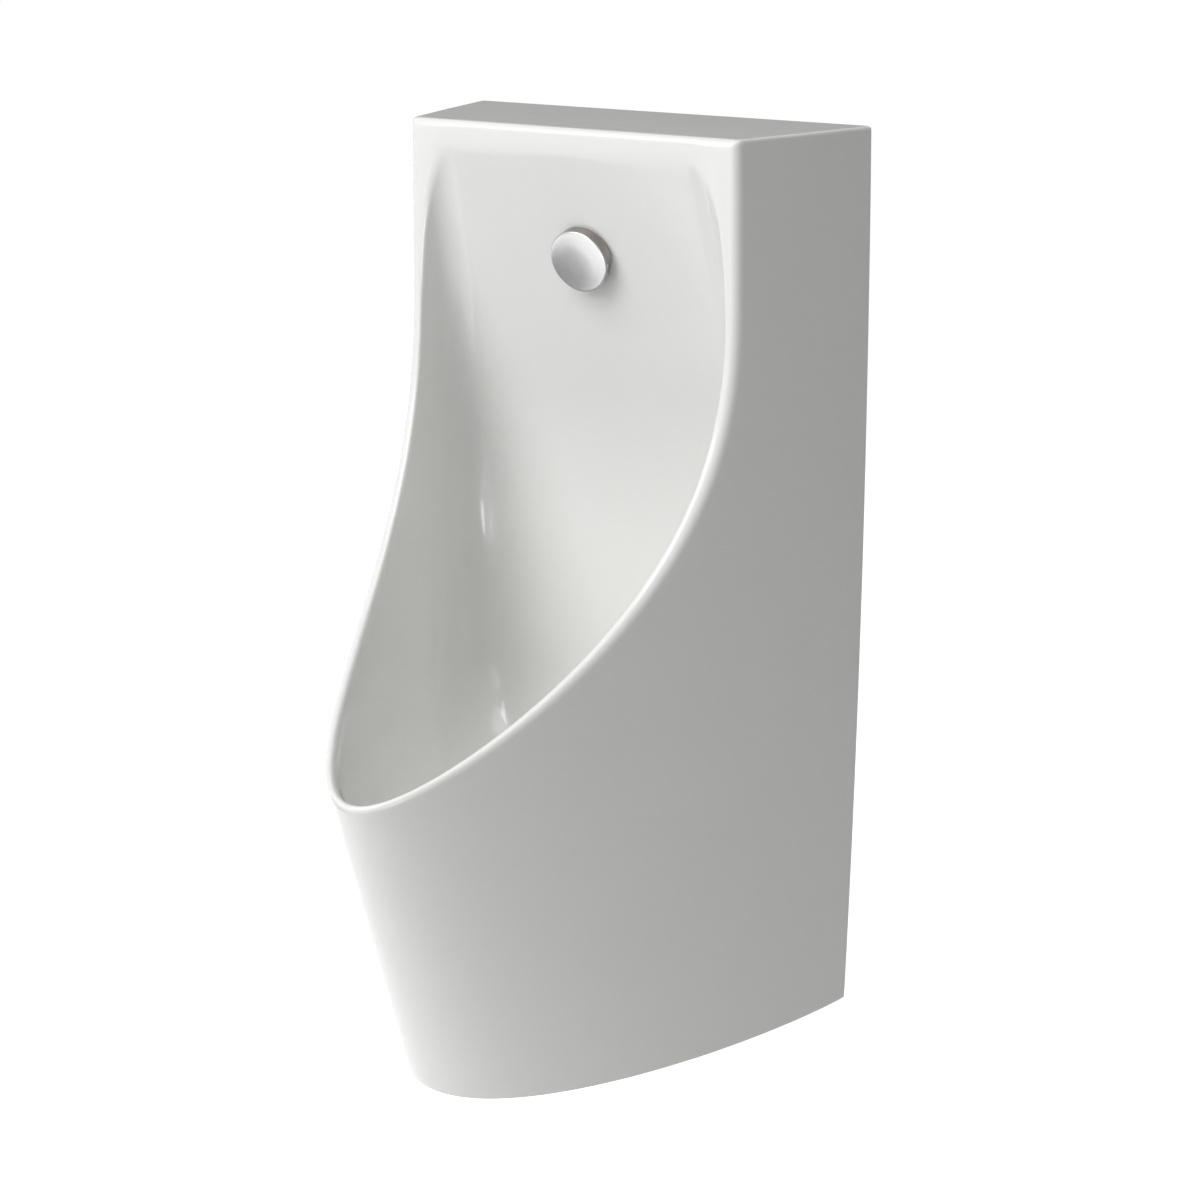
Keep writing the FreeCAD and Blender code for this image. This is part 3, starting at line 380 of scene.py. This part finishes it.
def skinDistance(x, depth, z):
    # about how far a spot lies outside the outer skin: with share = depth / reach of the plan
    # there, the skin is where (x / half)^2 = 1 - share^2 - taper share (1 - share^1.5)
    up = z / china["height"]
    half = china["wallHalf"] + 4 * china["bow"] * up * (1 - up)
    reach = china["footDepth"] + (china["crownDepth"] - china["footDepth"]) * up
    taper = china["footTaper"] + (china["crownTaper"] - china["footTaper"]) * up
    share = np.maximum(depth / reach, 0)
    value = (x / half) ** 2 - (1 - share ** 2 - taper * share * (1 - share ** 1.5))
    slopeX, slopeD = 2 * x / half ** 2, (2 * share + taper * (1 - 2.5 * share ** 1.5)) / reach
    return value / np.maximum(np.hypot(slopeX, slopeD), 1e-6)


def panelDepth(z):
    # depth of the bowl's back: a leaning panel that turns upright lower down
    slope = math.tan(panelLean)
    below = np.clip(china["panelFoot"] - z, 0, china["panelTurn"])
    return (china["topDepth"] - slope * (china["panelTop"] - np.maximum(z, china["panelFoot"]))
            - slope * below * (1 - below / (2 * china["panelTurn"])))


def bowlDistance(x, depth, z):
    # about how far a spot lies outside the bowl's hollow: sides, back and floor eased together
    up = np.clip(z / china["height"], 0, 1)
    corner = china["lowerRound"] + (china["upperRound"] - china["lowerRound"]) * up
    around = eased(skinDistance(x, depth, z) + china["rimWall"], panelDepth(z) - depth, corner)
    away = np.hypot(x, depth - china["wasteDepth"])
    floor = china["floor"] + china["floorSlope"] * (away - china["seatRadius"])
    return eased(around, floor - z, china["floorRound"])


def rimDepth(z):
    # upright at the top, then forward to the lip as a power of the fall
    fall = np.maximum(china["curveStart"] - z, 0) / (china["curveStart"] - china["lipHeight"])
    return china["topDepth"] + china["lipReach"] * fall ** china["rimPower"]


def rimDistance(depth, z):
    slope = rimDepth(z + 0.5) - rimDepth(z - 0.5)
    return (depth - rimDepth(z)) / np.hypot(1, slope)


def rearDistance(x, depth, z):
    # about how far a spot lies outside the open space behind the bowl
    inside = eased(skinDistance(x, depth, z) + china["skirtWall"],
                   z - (china["height"] - china["skirtWall"]), china["innerRound"])
    return eased(inside, china["bowlWall"] - bowlDistance(x, depth, z), china["innerRound"])


def chinaDistance(x, depth, z):
    # the whole body, each pair of its faces eased into each other by that edge's round; the
    # rim's inner edge grows softer on its way down to the lip
    fall = np.clip((china["softFrom"] - z) / (china["softFrom"] - china["lipHeight"]), 0, 1)
    inner = china["innerEdge"] + (china["lipEdge"] - china["innerEdge"]) * fall ** 3
    body = eased(skinDistance(x, depth, z), z - china["height"], china["topRound"])
    body = eased(body, rimDistance(depth, z), china["rimRound"])
    body = eased(body, -bowlDistance(x, depth, z), inner)
    body = eased(body, -rearDistance(x, depth, z), china["creaseRound"])
    body = eased(body, -z, china["footRound"])
    return eased(body, -depth, china["wallRound"])


def chinaSlope(spots, reach=0.05):
    # how the distance grows along x, depth and z
    slope = np.empty_like(spots)
    for axis in range(3):
        shift = np.zeros(3)
        shift[axis] = reach
        slope[..., axis] = (chinaDistance(*np.moveaxis(spots + shift, -1, 0))
                            - chinaDistance(*np.moveaxis(spots - shift, -1, 0))) / (2 * reach)
    return slope


def chinaNormals(spots, near=0.1):
    # the slope's own way out of the china; spots that aren't on its face are left to Blender
    slope = chinaSlope(spots) * (1, -1, 1)
    onFace = np.abs(chinaDistance(*spots.T)) < near
    return slope / np.linalg.norm(slope, axis=-1, keepdims=True) * onFace[:, None]


def settled(spots, steps=6, flattest=0.05, longest=4):
    # each spot (x, depth, z) slides down the body's own slope until it lies on its face, by at
    # most the longest move in one step
    spots = spots.copy()
    for step in range(steps):
        value = chinaDistance(*np.moveaxis(spots, -1, 0))
        slope = chinaSlope(spots)
        size = np.maximum((slope ** 2).sum(axis=-1), flattest)
        move = slope * (value / size)[..., None]
        length = np.maximum(np.linalg.norm(move, axis=-1), 1e-9)
        spots -= move * np.minimum(1, longest / length)[..., None]
    return spots


def reached(start, way, distance, far=900.0, marches=90, halvings=24):
    # how far along each way the distance first turns from inside to outside
    def at(length):
        return distance(*np.moveaxis(start + way * length[..., None], -1, 0))
    step, low, found = far / marches, np.zeros(way.shape[:-1]), np.zeros(way.shape[:-1], bool)
    for march in range(1, marches + 1):
        outside = at(np.full(low.shape, march * step)) > 0
        low = np.where(found | outside, low, march * step)
        found |= outside
    high = low + step
    for halving in range(halvings):
        middle = (low + high) / 2
        outside = at(middle) > 0
        low, high = np.where(outside, low, middle), np.where(outside, middle, high)
    return (low + high) / 2


def pointing(spots, start):
    way = spots - start
    return way / np.linalg.norm(way, axis=-1, keepdims=True)


def reread(grid, targets):
    # each column of the grid read again at the given lengths along it, in millimetres
    step = np.linalg.norm(np.diff(grid, axis=0), axis=2)
    length = np.concatenate([np.zeros((1, grid.shape[1])), np.cumsum(step, axis=0)])
    targets = np.clip(targets, 0, length[-1] - 1e-6)
    at = (length[None] <= targets[:, None]).sum(axis=1) - 1
    at = np.clip(at, 0, len(grid) - 2)
    low, high = np.take_along_axis(length, at, 0), np.take_along_axis(length, at + 1, 0)
    share = ((targets - low) / np.maximum(high - low, 1e-9))[..., None]
    first = np.take_along_axis(grid, at[..., None], 0)
    return first + share * (np.take_along_axis(grid, at[..., None] + 1, 0) - first)


def graded(grid, rows, near, far, halvings=40):
    # lengths for reread: half of the rows from each end, where the first steps are near and far
    # long and each next step grows by the ratio that makes the two halves meet
    total = np.linalg.norm(np.diff(grid, axis=0), axis=2).sum(axis=0) / 2

    def half(first, count):
        low, high = np.full_like(total, 0.5), np.full_like(total, 1.9)
        for halving in range(halvings):
            ratio = (low + high) / 2 + 1e-7
            short = first * (ratio ** count - 1) / (ratio - 1) < total
            low, high = np.where(short, ratio, low), np.where(short, high, ratio)
        return first * (ratio ** np.arange(count + 1)[:, None] - 1) / (ratio - 1)
    return np.concatenate([half(near, rows // 2), 2 * total - half(far, rows // 2 - 1)[-2::-1]])


def outerDistance(x, depth, z, wall=0):
    # the skin and the top face, both taken inwards by a wall
    return np.maximum(skinDistance(x, depth, z) + wall, z - (china["height"] - wall))


def lengths(path):
    return np.concatenate([[0], np.cumsum(np.linalg.norm(np.diff(path, axis=0), axis=1))])


def chinaRim(columns, halvings=40):
    # the outer edge of the rim seen from the front, as a ray from the middle at each angle,
    # then read again so that the columns crowd at the two top corners
    fine = np.linspace(0, math.pi, 4001)

    def edge(angle, distance):
        low, high = np.zeros_like(angle), np.full_like(angle, layout["rimReach"])
        for halving in range(halvings):
            middle = (low + high) / 2
            x, z = middle * np.sin(angle), layout["rimMiddle"] + middle * np.cos(angle)
            outside = distance(x, rimDepth(z), z) > 0
            low, high = np.where(outside, low, middle), np.where(outside, middle, high)
        x, z = low * np.sin(angle), layout["rimMiddle"] + low * np.cos(angle)
        return np.stack([x, rimDepth(z), z], axis=-1)

    path = edge(fine, outerDistance)
    length = lengths(path)
    corner = length[np.argmax(path[:, 2] + path[:, 0])]
    crowd = (1 + 3 * np.exp(-((length - corner) / 12) ** 2)
             + 0.8 * np.exp(-((length - length[-1]) / 90) ** 2))
    weight = np.concatenate([[0], np.cumsum((crowd[1:] + crowd[:-1]) / 2 * np.diff(length))])
    cornerShare = np.interp(corner, length, weight) / weight[-1]
    top = round(cornerShare * columns / 2)
    wanted = np.concatenate([np.linspace(0, cornerShare, top + 1),
                             np.linspace(cornerShare, 1, columns // 2 - top + 1)[1:]])
    angle = np.interp(wanted * weight[-1], weight, fine)
    return edge(angle, outerDistance), edge(angle, bowlDistance), top


def chinaWall(half, top):
    # the back edge of the body for the same columns: across the top, down the wall, then
    # round the foot to the front of the skirt
    def share(part):
        length = lengths(part)
        return length / length[-1]
    turn = int(np.argmin(np.abs(half[:, 2] - layout["footFrom"])))
    across = share(half[:top + 1]) * china["wallHalf"]
    down = (1 - share(half[top:turn + 1])) * china["height"]
    foot = share(half[turn:])
    level = np.linspace(0, 1, 2001)
    depth = china["footDepth"] * (1 - (1 - level) ** 2)
    out = depth / china["footDepth"]
    x = china["wallHalf"] * np.sqrt(np.maximum(
        1 - out ** 2 - china["footTaper"] * out * (1 - out ** 1.5), 0))
    run = np.concatenate([[0], np.cumsum(np.hypot(np.diff(x), np.diff(depth)))])
    footDepth = np.interp(foot * run[-1], run, depth)
    footX = np.interp(foot * run[-1], run, x)
    up = down / china["height"]
    wallX = china["wallHalf"] + 4 * china["bow"] * up * (1 - up)
    return np.concatenate([
        np.stack([across, 0 * across, 0 * across + china["height"]], axis=-1),
        np.stack([wallX, 0 * wallX, down], axis=-1)[1:],
        np.stack([footX, footDepth, 0 * footX], axis=-1)[1:]])


def bothSides(half):
    # a half loop from the middle of the top round to the middle of the front, mirrored
    other = half[-2:0:-1] * (-1, 1, 1)
    return np.concatenate([half, other])


def pathBetween(start, end, rows, bend=0.0, lean=(0, 0, 0)):
    # directions that go from one loop of directions to another, by way of a lean
    share = np.linspace(0, 1, rows)[:, None, None]
    apart = 1 - (start * end).sum(axis=-1)[None, :, None]
    way = ((1 - share) * start + share * end
           + bend * apart * share * (1 - share) * np.array(lean, float))
    return way / np.linalg.norm(way, axis=-1, keepdims=True)


def chinaSheet():
    middle = np.array(layout["middle"])
    fine, usual = layout["fine"], layout["usual"]
    half, inner, top = chinaRim(layout["columns"])
    rimOuter, rimInner, wall = bothSides(half), bothSides(inner), bothSides(chinaWall(half, top))
    # outside, from the rim back to the wall and down to the foot
    rays, rows = layout["shell"]
    way = pathBetween(pointing(rimOuter, middle), pointing(wall, middle), rays)
    shell = middle + way * reached(middle, way, outerDistance)[..., None]
    shell[0], shell[-1] = rimOuter, wall
    shell = reread(shell, graded(shell, rows, fine, fine))
    # rim, straight across from the outer edge to the inner
    share = np.linspace(0, 1, layout["rim"])[1:-1, None, None]
    rim = rimOuter + share * (rimInner - rimOuter)
    rim[..., 1] = rimDepth(rim[..., 2])
    # bowl, from the rim round by the back to the seat of the waste
    rays, rows = layout["bowl"]
    spread = np.arctan2(rimInner[:, 0] * layout["spread"], -(rimInner[:, 2] - layout["footFrom"]))
    turnX, turnD = np.sin(spread), np.cos(spread)
    seatSpot = np.stack([china["seatRadius"] * turnX,
                         china["wasteDepth"] + china["seatRadius"] * turnD,
                         0 * spread + china["floor"]], axis=-1)
    way = pathBetween(pointing(rimInner, middle), pointing(seatSpot, middle), rays,
                      layout["bend"], layout["bendWay"])
    bowl = middle + way * reached(middle, way, bowlDistance)[..., None]
    bowl[0] = rimInner
    bowl = reread(bowl, graded(bowl, rows, fine, usual))
    # behind the bowl: where the skirt's inner face is farther out than the back of the bowl

    def back(x, depth, z):
        return bowlDistance(x, depth, z) - china["bowlWall"]

    def skirt(x, depth, z):
        return outerDistance(x, depth, z, china["skirtWall"])
    bossSpot = seatSpot + (china["boss"] / china["seatRadius"] - 1) * (
        seatSpot - np.array([0, china["wasteDepth"], 0])) * (1, 1, 0)
    way = pathBetween(pointing(rimInner, middle), pointing(bossSpot, middle), rays,
                      layout["bend"], layout["bendWay"])
    toBack, toSkirt = reached(middle, way, back), reached(middle, way, skirt)
    firstOpen = np.argmax(toBack < toSkirt, axis=0)
    crease = way[firstOpen, np.arange(len(spread))]
    behind = middle + way * toBack[..., None]
    keep = np.maximum(np.arange(rays)[:, None], firstOpen[None])
    behind = np.take_along_axis(behind, keep[..., None], 0)
    behind = reread(behind, graded(behind, layout["behind"], usual, usual))[::-1]
    # inside of the skirt, from that crease to the wall and the foot
    rays, rows = layout["lining"]
    thick = china["skirtWall"]
    inset = np.stack([wall[:, 0] * (1 - thick / china["wallHalf"]),
                      wall[:, 1] * (1 - thick / china["footDepth"]),
                      np.where(wall[:, 2] > china["height"] - 1, china["height"] - thick,
                               wall[:, 2] * (1 - thick / china["height"]))], axis=-1)
    way = pathBetween(crease, pointing(inset, middle), rays)
    lining = middle + way * reached(middle, way, skirt)[..., None]
    lining[-1] = inset
    lining = reread(lining, graded(lining, rows, usual, fine))
    edge = wall + np.linspace(0, 1, layout["edge"])[1:-1, None, None][::-1] * (inset - wall)

    # the waste's seat and hole, as plain turned steps with their small bevels
    def ring(radius, z):
        return np.stack([radius * turnX, china["wasteDepth"] + radius * turnD,
                         0 * turnX + z], axis=-1)[None]
    wide, hole, boss = china["seatRadius"], china["hole"], china["boss"]
    steps = [ring(radius, z) for radius, z in (
        (wide, china["seat"] + 1.2), (wide - 0.4, china["seat"]), (wide - 2, china["seat"]),
        (hole + 1, china["seat"]), (hole, china["seat"] - 1), (hole, china["holeFoot"]),
        (hole, china["bossFoot"] + 1), (hole + 1, china["bossFoot"]),
        (boss - 1.5, china["bossFoot"]), (boss, china["bossFoot"] + 1.5))]
    front = settled(np.concatenate([shell[::-1], rim, bowl]))
    rear = settled(np.concatenate([behind, lining[1:]]))
    whole = np.concatenate([front, *steps, rear, settled(edge)])
    return placed(whole[..., 0], whole[..., 1], whole[..., 2])


print("china body")
pieceOf("chinaBody", [chinaSheet()], "glaze", replaced=["china_body"], sharp=50,
        normalsOf=chinaNormals)

ribLook = {"half": 150, "near": 6, "far": 20, "low": 600, "high": 618, "bevel": 2,
           "endTaper": 6, "round": 2}
lugLook = {"inner": 93, "outer": 152, "near": 6, "far": 48, "low": 26, "high": 40,
           "bolt": (108, 27), "boltHole": 3.6, "bevel": 1.5, "around": 96, "power": 14}


def lugSheet(side):
    # a plate with a hole: rings go from the hole's circle out to a squarish outline, where
    # |x / a|^power + |y / b|^power = 1, up its side and back
    angle = np.linspace(0, 2 * math.pi, lugLook["around"], endpoint=False)
    across, deep = math.copysign(1, side) * lugLook["bolt"][0], lugLook["bolt"][1]
    left, right = lugLook["bolt"][0] - lugLook["inner"], lugLook["outer"] - lugLook["bolt"][0]
    a = np.where(np.cos(angle) * side > 0, right, left)
    b = np.where(np.sin(angle) > 0, lugLook["far"] - deep, deep - lugLook["near"])
    power = lugLook["power"]
    radius = (np.abs(np.cos(angle) / a) ** power
              + np.abs(np.sin(angle) / b) ** power) ** (-1 / power)
    rows = []
    hole, bevel = lugLook["boltHole"], lugLook["bevel"]
    for size, z in ((hole, lugLook["low"]), (radius - bevel, lugLook["low"]),
                    (radius, lugLook["low"] + bevel), (radius, lugLook["high"] - bevel),
                    (radius - bevel, lugLook["high"]), (hole, lugLook["high"])):
        rows.append(placed(across + size * np.cos(angle), deep + size * np.sin(angle),
                           np.full(len(angle), float(z))))
    return np.stack(rows)


ribHalf, ribShort = ribLook["half"], ribLook["half"] - ribLook["endTaper"]
pieceOf("hangingRib", [blockSheet(
    [(x, depth, ribLook["round"])
     for x, depth in ((-ribHalf, ribLook["near"]), (ribHalf, ribLook["near"]),
                      (ribShort, ribLook["far"]), (-ribShort, ribLook["far"]))],
    ribLook["low"], ribLook["high"], ribLook["bevel"])], "glaze")
pieceOf("footLugs", [lugSheet(-1), lugSheet(1)], "glaze")


# --- flush spreader

# a frame is an origin and three ways: across, up and out along the axis
flushFrame = ((0, -panel["flushDepth"], panel["flushHeight"]), (1, 0, 0),
              (0, -math.sin(panelLean), math.cos(panelLean)), flushWay)
wasteFrame = ((0, -china["wasteDepth"], 0), (1, 0, 0), (0, 1, 0), (0, 0, 1))
outletFrame = ((0, 0, 84), (1, 0, 0), (0, 0, 1), (0, -1, 0))
bodyLook = {"flange": 20, "back": 1.5, "face": 5, "tail": 14, "bore": 8, "tailEnd": -46}
# what slides over the spreader's tail, the waste's neck and the outlet pipe, and the two nuts'
# widths across the flats
fitLook = {"tail": 14.05, "neck": 40.3, "pipe": 25.05, "lockFlats": 36, "unionFlats": 33,
           "grips": 14, "gripDepth": 1.6, "gripsFrom": 33}


def openBelow(angle, radius, along):
    # the skirt's foot is drawn up to the disc all round the lower half
    lower = np.clip(-np.sin(angle) * 40, 0, 1)
    foot = capLook["back"] - 0.02
    return radius, np.where(along < foot, foot - (foot - along) * (1 - 0.97 * lower), along)


def hexagonal(flats):
    # six flats: the radius is cut down to half the flats over the cosine of the turn from
    # the nearest flat's middle
    def shape(angle, radius, along):
        turn = np.mod(angle, math.pi / 3) - math.pi / 6
        return np.minimum(radius, flats / 2 / np.cos(turn)), along
    return shape


def fluted(angle, radius, along):
    # hand grips: the outer face dips where a cosine runs high
    dip = fitLook["gripDepth"] * np.clip(np.cos(fitLook["grips"] * angle) * 1.6 - 0.6, 0, 1)
    return radius - np.where(radius > fitLook["gripsFrom"], dip, 0), along


def turnedPieces(table):
    # name: outline of (radius, along the axis, round) corners, frame, places around, shape,
    # sharp angle, slot, the CAD node that it replaces, and its finish if that isn't the slot's
    for name, (corners, frameOf, around, shape, sharp, slot, node, *finish) in table.items():
        pieceOf(name, [turnedSheet(corners, frameOf, around, shape)], slot, replaced=[node],
                sharp=sharp, finish=finish[0] if finish else None)


def ringOf(inner, outer, low, high, innerRound, outerRound):
    return [(inner, low, innerRound), (outer, low, outerRound), (outer, high, outerRound),
            (inner, high, innerRound)]


print("flush spreader")
tailFit, cap, flush = fitLook["tail"], capLook, bodyLook
turnedPieces({
    "spreaderCap": ([
        (0, cap["back"], 0), (cap["inner"], cap["back"], 0.4),
        (cap["inner"], cap["skirtFoot"], 0.3), (cap["radius"], cap["skirtFoot"], 0.3),
        (cap["radius"], cap["edge"], cap["edgeRound"]),
        (cap["radius"] * 0.86, cap["edge"] + 0.5, 3),
        (cap["radius"] * 0.5, cap["crown"] - 0.25, 5), (0, cap["crown"], 0)],
        flushFrame, 192, openBelow, 30, "chrome", "spreader_cap", "cap"),
    "spreaderBody": ([
        (flush["bore"], flush["tailEnd"], 0.5), (flush["tail"], flush["tailEnd"], 1),
        (flush["tail"], flush["back"], 0.2), (flush["flange"], flush["back"], 0.4),
        (flush["flange"], flush["face"], 0.7), (flush["bore"] + 3, flush["face"], 0.5),
        (flush["bore"], flush["face"] - 2, 0.5)],
        flushFrame, 96, None, 40, "chrome", "spreader_body"),
    "spreaderGasket": (ringOf(tailFit, 19, 0, flush["back"], 0.2, 0.3),
                       flushFrame, 96, None, 40, "black_rubber", "spreader_gasket"),
    "panelWasher": (ringOf(tailFit, 21.5, -15, -12, 0.3, 0.6),
                    flushFrame, 96, None, 40, "black_rubber", "panel_washer"),
    "slipWasher": (ringOf(tailFit, 21, -16.5, -15, 0.1, 0.4),
                   flushFrame, 96, None, 40, "brass", "slip_washer"),
    "lockNut": ([
        (tailFit, -24.5, 0.6), (18.4, -24.5, 0.1), (20.9, -23.1, 0.1), (20.9, -17.9, 0.1),
        (18.4, -16.5, 0.1), (tailFit, -16.5, 0.6)],
        flushFrame, 144, hexagonal(fitLook["lockFlats"]), 24, "brass", "spreader_lock_nut"),
    "unionNut": ([
        (10.55, -53.5, 0.4), (16.9, -53.5, 0.1), (19.2, -52.1, 0.1), (19.2, -38.9, 0.1),
        (16.9, -37.5, 0.1), (tailFit, -37.5, 0.5), (tailFit, -50.5, 0.1), (10.55, -50.5, 0.1)],
        flushFrame, 144, hexagonal(fitLook["unionFlats"]), 24, "brass", "supply_union_nut")})


# --- waste and trap

print("waste and trap")
neckFit, pipeFit = fitLook["neck"], fitLook["pipe"]
turnedPieces({
    "wasteFlange": ([
        (36.5, 113.5, 0.5), (40, 113.5, 0.8), (40, 147.5, 0.2), (51, 147.5, 0.5),
        (51, 149.6, 0.9), (49.2, 150.5, 1.2), (39.5, 150.5, 0.8), (39.5, 147, 0.3),
        (36.5, 147, 0.5)], wasteFrame, 144, None, 40, "stainless", "waste_flange"),
    "wasteGasket": (ringOf(neckFit, 50, china["seat"], 147.5, 0.2, 0.4),
                    wasteFrame, 120, None, 40, "black_rubber", "waste_gasket"),
    "trapGasket": (ringOf(neckFit, 56, 129, china["bossFoot"], 0.3, 0.8),
                   wasteFrame, 120, None, 40, "black_rubber", "trap_gasket"),
    "outletNut": ([
        (25.1, 109, 0.3), (33.05, 109, 0.6), (35.05, 111, 1.2), (35.05, 136, 1.2),
        (29.1, 136, 0.3), (29.1, 113, 0.1), (25.1, 113, 0.1)],
        outletFrame, 280, fluted, 40, "white_plastic", "outlet_nut"),
    "outletPipe": ([(23, 0, 0.6), (25, 0, 0.6), (25, 145.7, 0.8), (23, 145.7, 0.3)],
                   outletFrame, 96, None, 40, "white_plastic", "outlet_pipe"),
    "wallRose": ([
        (pipeFit, 0, 0.3), (40, 0, 0.3), (40, 2.5, 1), (37, 4, 1.4), (31, 5, 2.5), (29, 22, 1),
        (pipeFit, 22, 1)], outletFrame, 120, None, 40, "grey_rubber", "wall_rose")})

slotOf = {"trap_body": "white_plastic", "trap_insert": "grey_plastic", "strainer": "stainless",
          "supply_pipe": "stainless", "supply_washer": "black_rubber",
          "insert_ring": "black_rubber", "outlet_seal": "black_rubber",
          "hanger_pad": "black_rubber", "foot_pad": "black_rubber"}
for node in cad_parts.values():
    if not node.hide_render:
        slot = slotOf.get(node.name, "zinc_steel")
        node.data.materials.clear()
        node.data.materials.append(finishes[slot])


# --- floor, light and camera

# each lamp: degrees round from the front and up, metres away, width and height, watts; the
# glint is seen only by the gloss, as a small window is
# each card: its middle, its width and height, the spot that it faces, and how pale it is
stageLook = {"floorHeight": -0.32, "floorHalf": 6.0, "floorShade": 0.8, "floorGlow": 0.87,
             "worldFill": 0.15,
             "aim": (0, -0.12, 0.33),
             "lamps": {"key": (-20, 40, 3.4, 2.4, 2.4, 75), "front": (0, 5, 3.4, 2.4, 2.4, 20),
                       "top": (0, 65, 3.4, 2.4, 2.4, 32),
                       "glint": (36, -11, 2.6, 0.9, 0.4, 9)},
             "cards": {"greyCard": ((-0.66, 0.9, 1.0), (2.6, 0.66), (0, -0.06, 0.65), 0.27),
                       "lowCard": ((-0.75, -0.55, -0.2), (0.75, 0.55), (0, -0.1, 0.56), 0.45)}}
scene = bpy.context.scene
scene.view_settings.view_transform = "Standard"


def seenDirectly(finish):
    # 1 for the camera's, glossy and see-through rays, and 0 for others
    camera, glossy, through = (finish.node("ShaderNodeLightPath", out=ray) for ray in (
        "Is Camera Ray", "Is Glossy Ray", "Is Transmission Ray"))
    return finish.reckon("MAXIMUM", finish.reckon("MAXIMUM", camera, glossy), through)


# rays that see it directly meet plain white, and others meet the soft fill
world = bpy.data.worlds.new("studio")
scene.world = world
studio = Finish("studio", world)
glow = studio.node("ShaderNodeBackground", None, {
    "Color": grey(1.0), "Strength": (seenDirectly(studio) * (1 - stageLook["worldFill"])
                                     + stageLook["worldFill"])})
studio.node("ShaderNodeOutputWorld", None, {"Surface": glow})

# the floor glows white to those rays too, and darkens a little where the piece shades it
floorFinish = Finish("paleFloor")
matt = floorFinish.node("ShaderNodeBsdfDiffuse", None, {"Color": grey(stageLook["floorShade"])})
bright = floorFinish.node("ShaderNodeEmission", None, {
    "Color": grey(1.0), "Strength": stageLook["floorGlow"]})
both = floorFinish.node("ShaderNodeAddShader", None, {0: matt, 1: bright})
floorFinish.node("ShaderNodeOutputMaterial", None, {"Surface": floorFinish.node(
    "ShaderNodeMixShader", None, {0: seenDirectly(floorFinish), 1: matt, 2: both})})
floorMesh = bpy.data.meshes.new("floor")
turns = ((-1, -1), (1, -1), (1, 1), (-1, 1))
floorMesh.from_pydata([(i * stageLook["floorHalf"], j * stageLook["floorHalf"],
                        stageLook["floorHeight"]) for i, j in turns], [], [(0, 1, 2, 3)])
floorMesh.materials.append(floorFinish.material)
floor = bpy.data.objects.new("floor", floorMesh)
scene.collection.objects.link(floor)


def softBox(name, place, aim, size, power):
    lamp = bpy.data.lights.new(name, "AREA")
    lamp.shape, lamp.size, lamp.size_y, lamp.energy = "RECTANGLE", size[0], size[1], power
    box = bpy.data.objects.new(name, lamp)
    scene.collection.objects.link(box)
    box.location = place
    box.rotation_mode = "QUATERNION"
    box.rotation_quaternion = (Vector(aim) - Vector(place)).to_track_quat("-Z", "Y")
    box.visible_camera = False
    return box


aim = stageLook["aim"]
for name, (turn, rise, far, wide, high, power) in stageLook["lamps"].items():
    turn, rise = math.radians(turn), math.radians(rise)
    lamp = softBox(name, (far * math.sin(turn) * math.cos(rise),
                          aim[1] - far * math.cos(turn) * math.cos(rise),
                          aim[2] + far * math.sin(rise)), aim, (wide, high), power)
    lamp.visible_diffuse = name != "glint"
# grey cards outside the frame, as a photographer stands round a glossy piece: only its gloss
# sees them, in the top face and in the chrome cap
for name, (middle, size, facing, shade) in stageLook["cards"].items():
    cardFinish = Finish(name)
    cardFinish.node("ShaderNodeOutputMaterial", None, {"Surface": cardFinish.node(
        "ShaderNodeEmission", None, {"Color": grey(shade), "Strength": 1.0})})
    out = (Vector(facing) - Vector(middle)).normalized()
    across = out.cross(Vector((0, 0, 1))).normalized()
    rise = across.cross(out)
    corners = [Vector(middle) + across * size[0] * i / 2 + rise * size[1] * j / 2
               for i, j in turns]
    cardMesh = bpy.data.meshes.new(name)
    cardMesh.from_pydata(corners, [], [(0, 1, 2, 3)])
    cardMesh.materials.append(cardFinish.material)
    card = bpy.data.objects.new(name, cardMesh)
    scene.collection.objects.link(card)
    card.visible_camera = card.visible_diffuse = card.visible_shadow = False
    card.visible_transmission = False

cameraLook = {"turn": 33.62, "rise": 16.84, "away": 1.777, "aim": (0.009, -0.100, 0.313),
              "lens": 74.13, "sensor": 36}
turn, rise = math.radians(cameraLook["turn"]), math.radians(cameraLook["rise"])
back = np.array([math.sin(turn) * math.cos(rise), -math.cos(turn) * math.cos(rise),
                 math.sin(rise)])
lens = bpy.data.cameras.new("camera")
lens.lens, lens.sensor_width = cameraLook["lens"], cameraLook["sensor"]
camera = bpy.data.objects.new("camera", lens)
scene.collection.objects.link(camera)
camera.location = (np.array(cameraLook["aim"]) + back * cameraLook["away"]).tolist()
camera.rotation_euler = (math.pi / 2 - rise, 0, turn)
scene.camera = camera
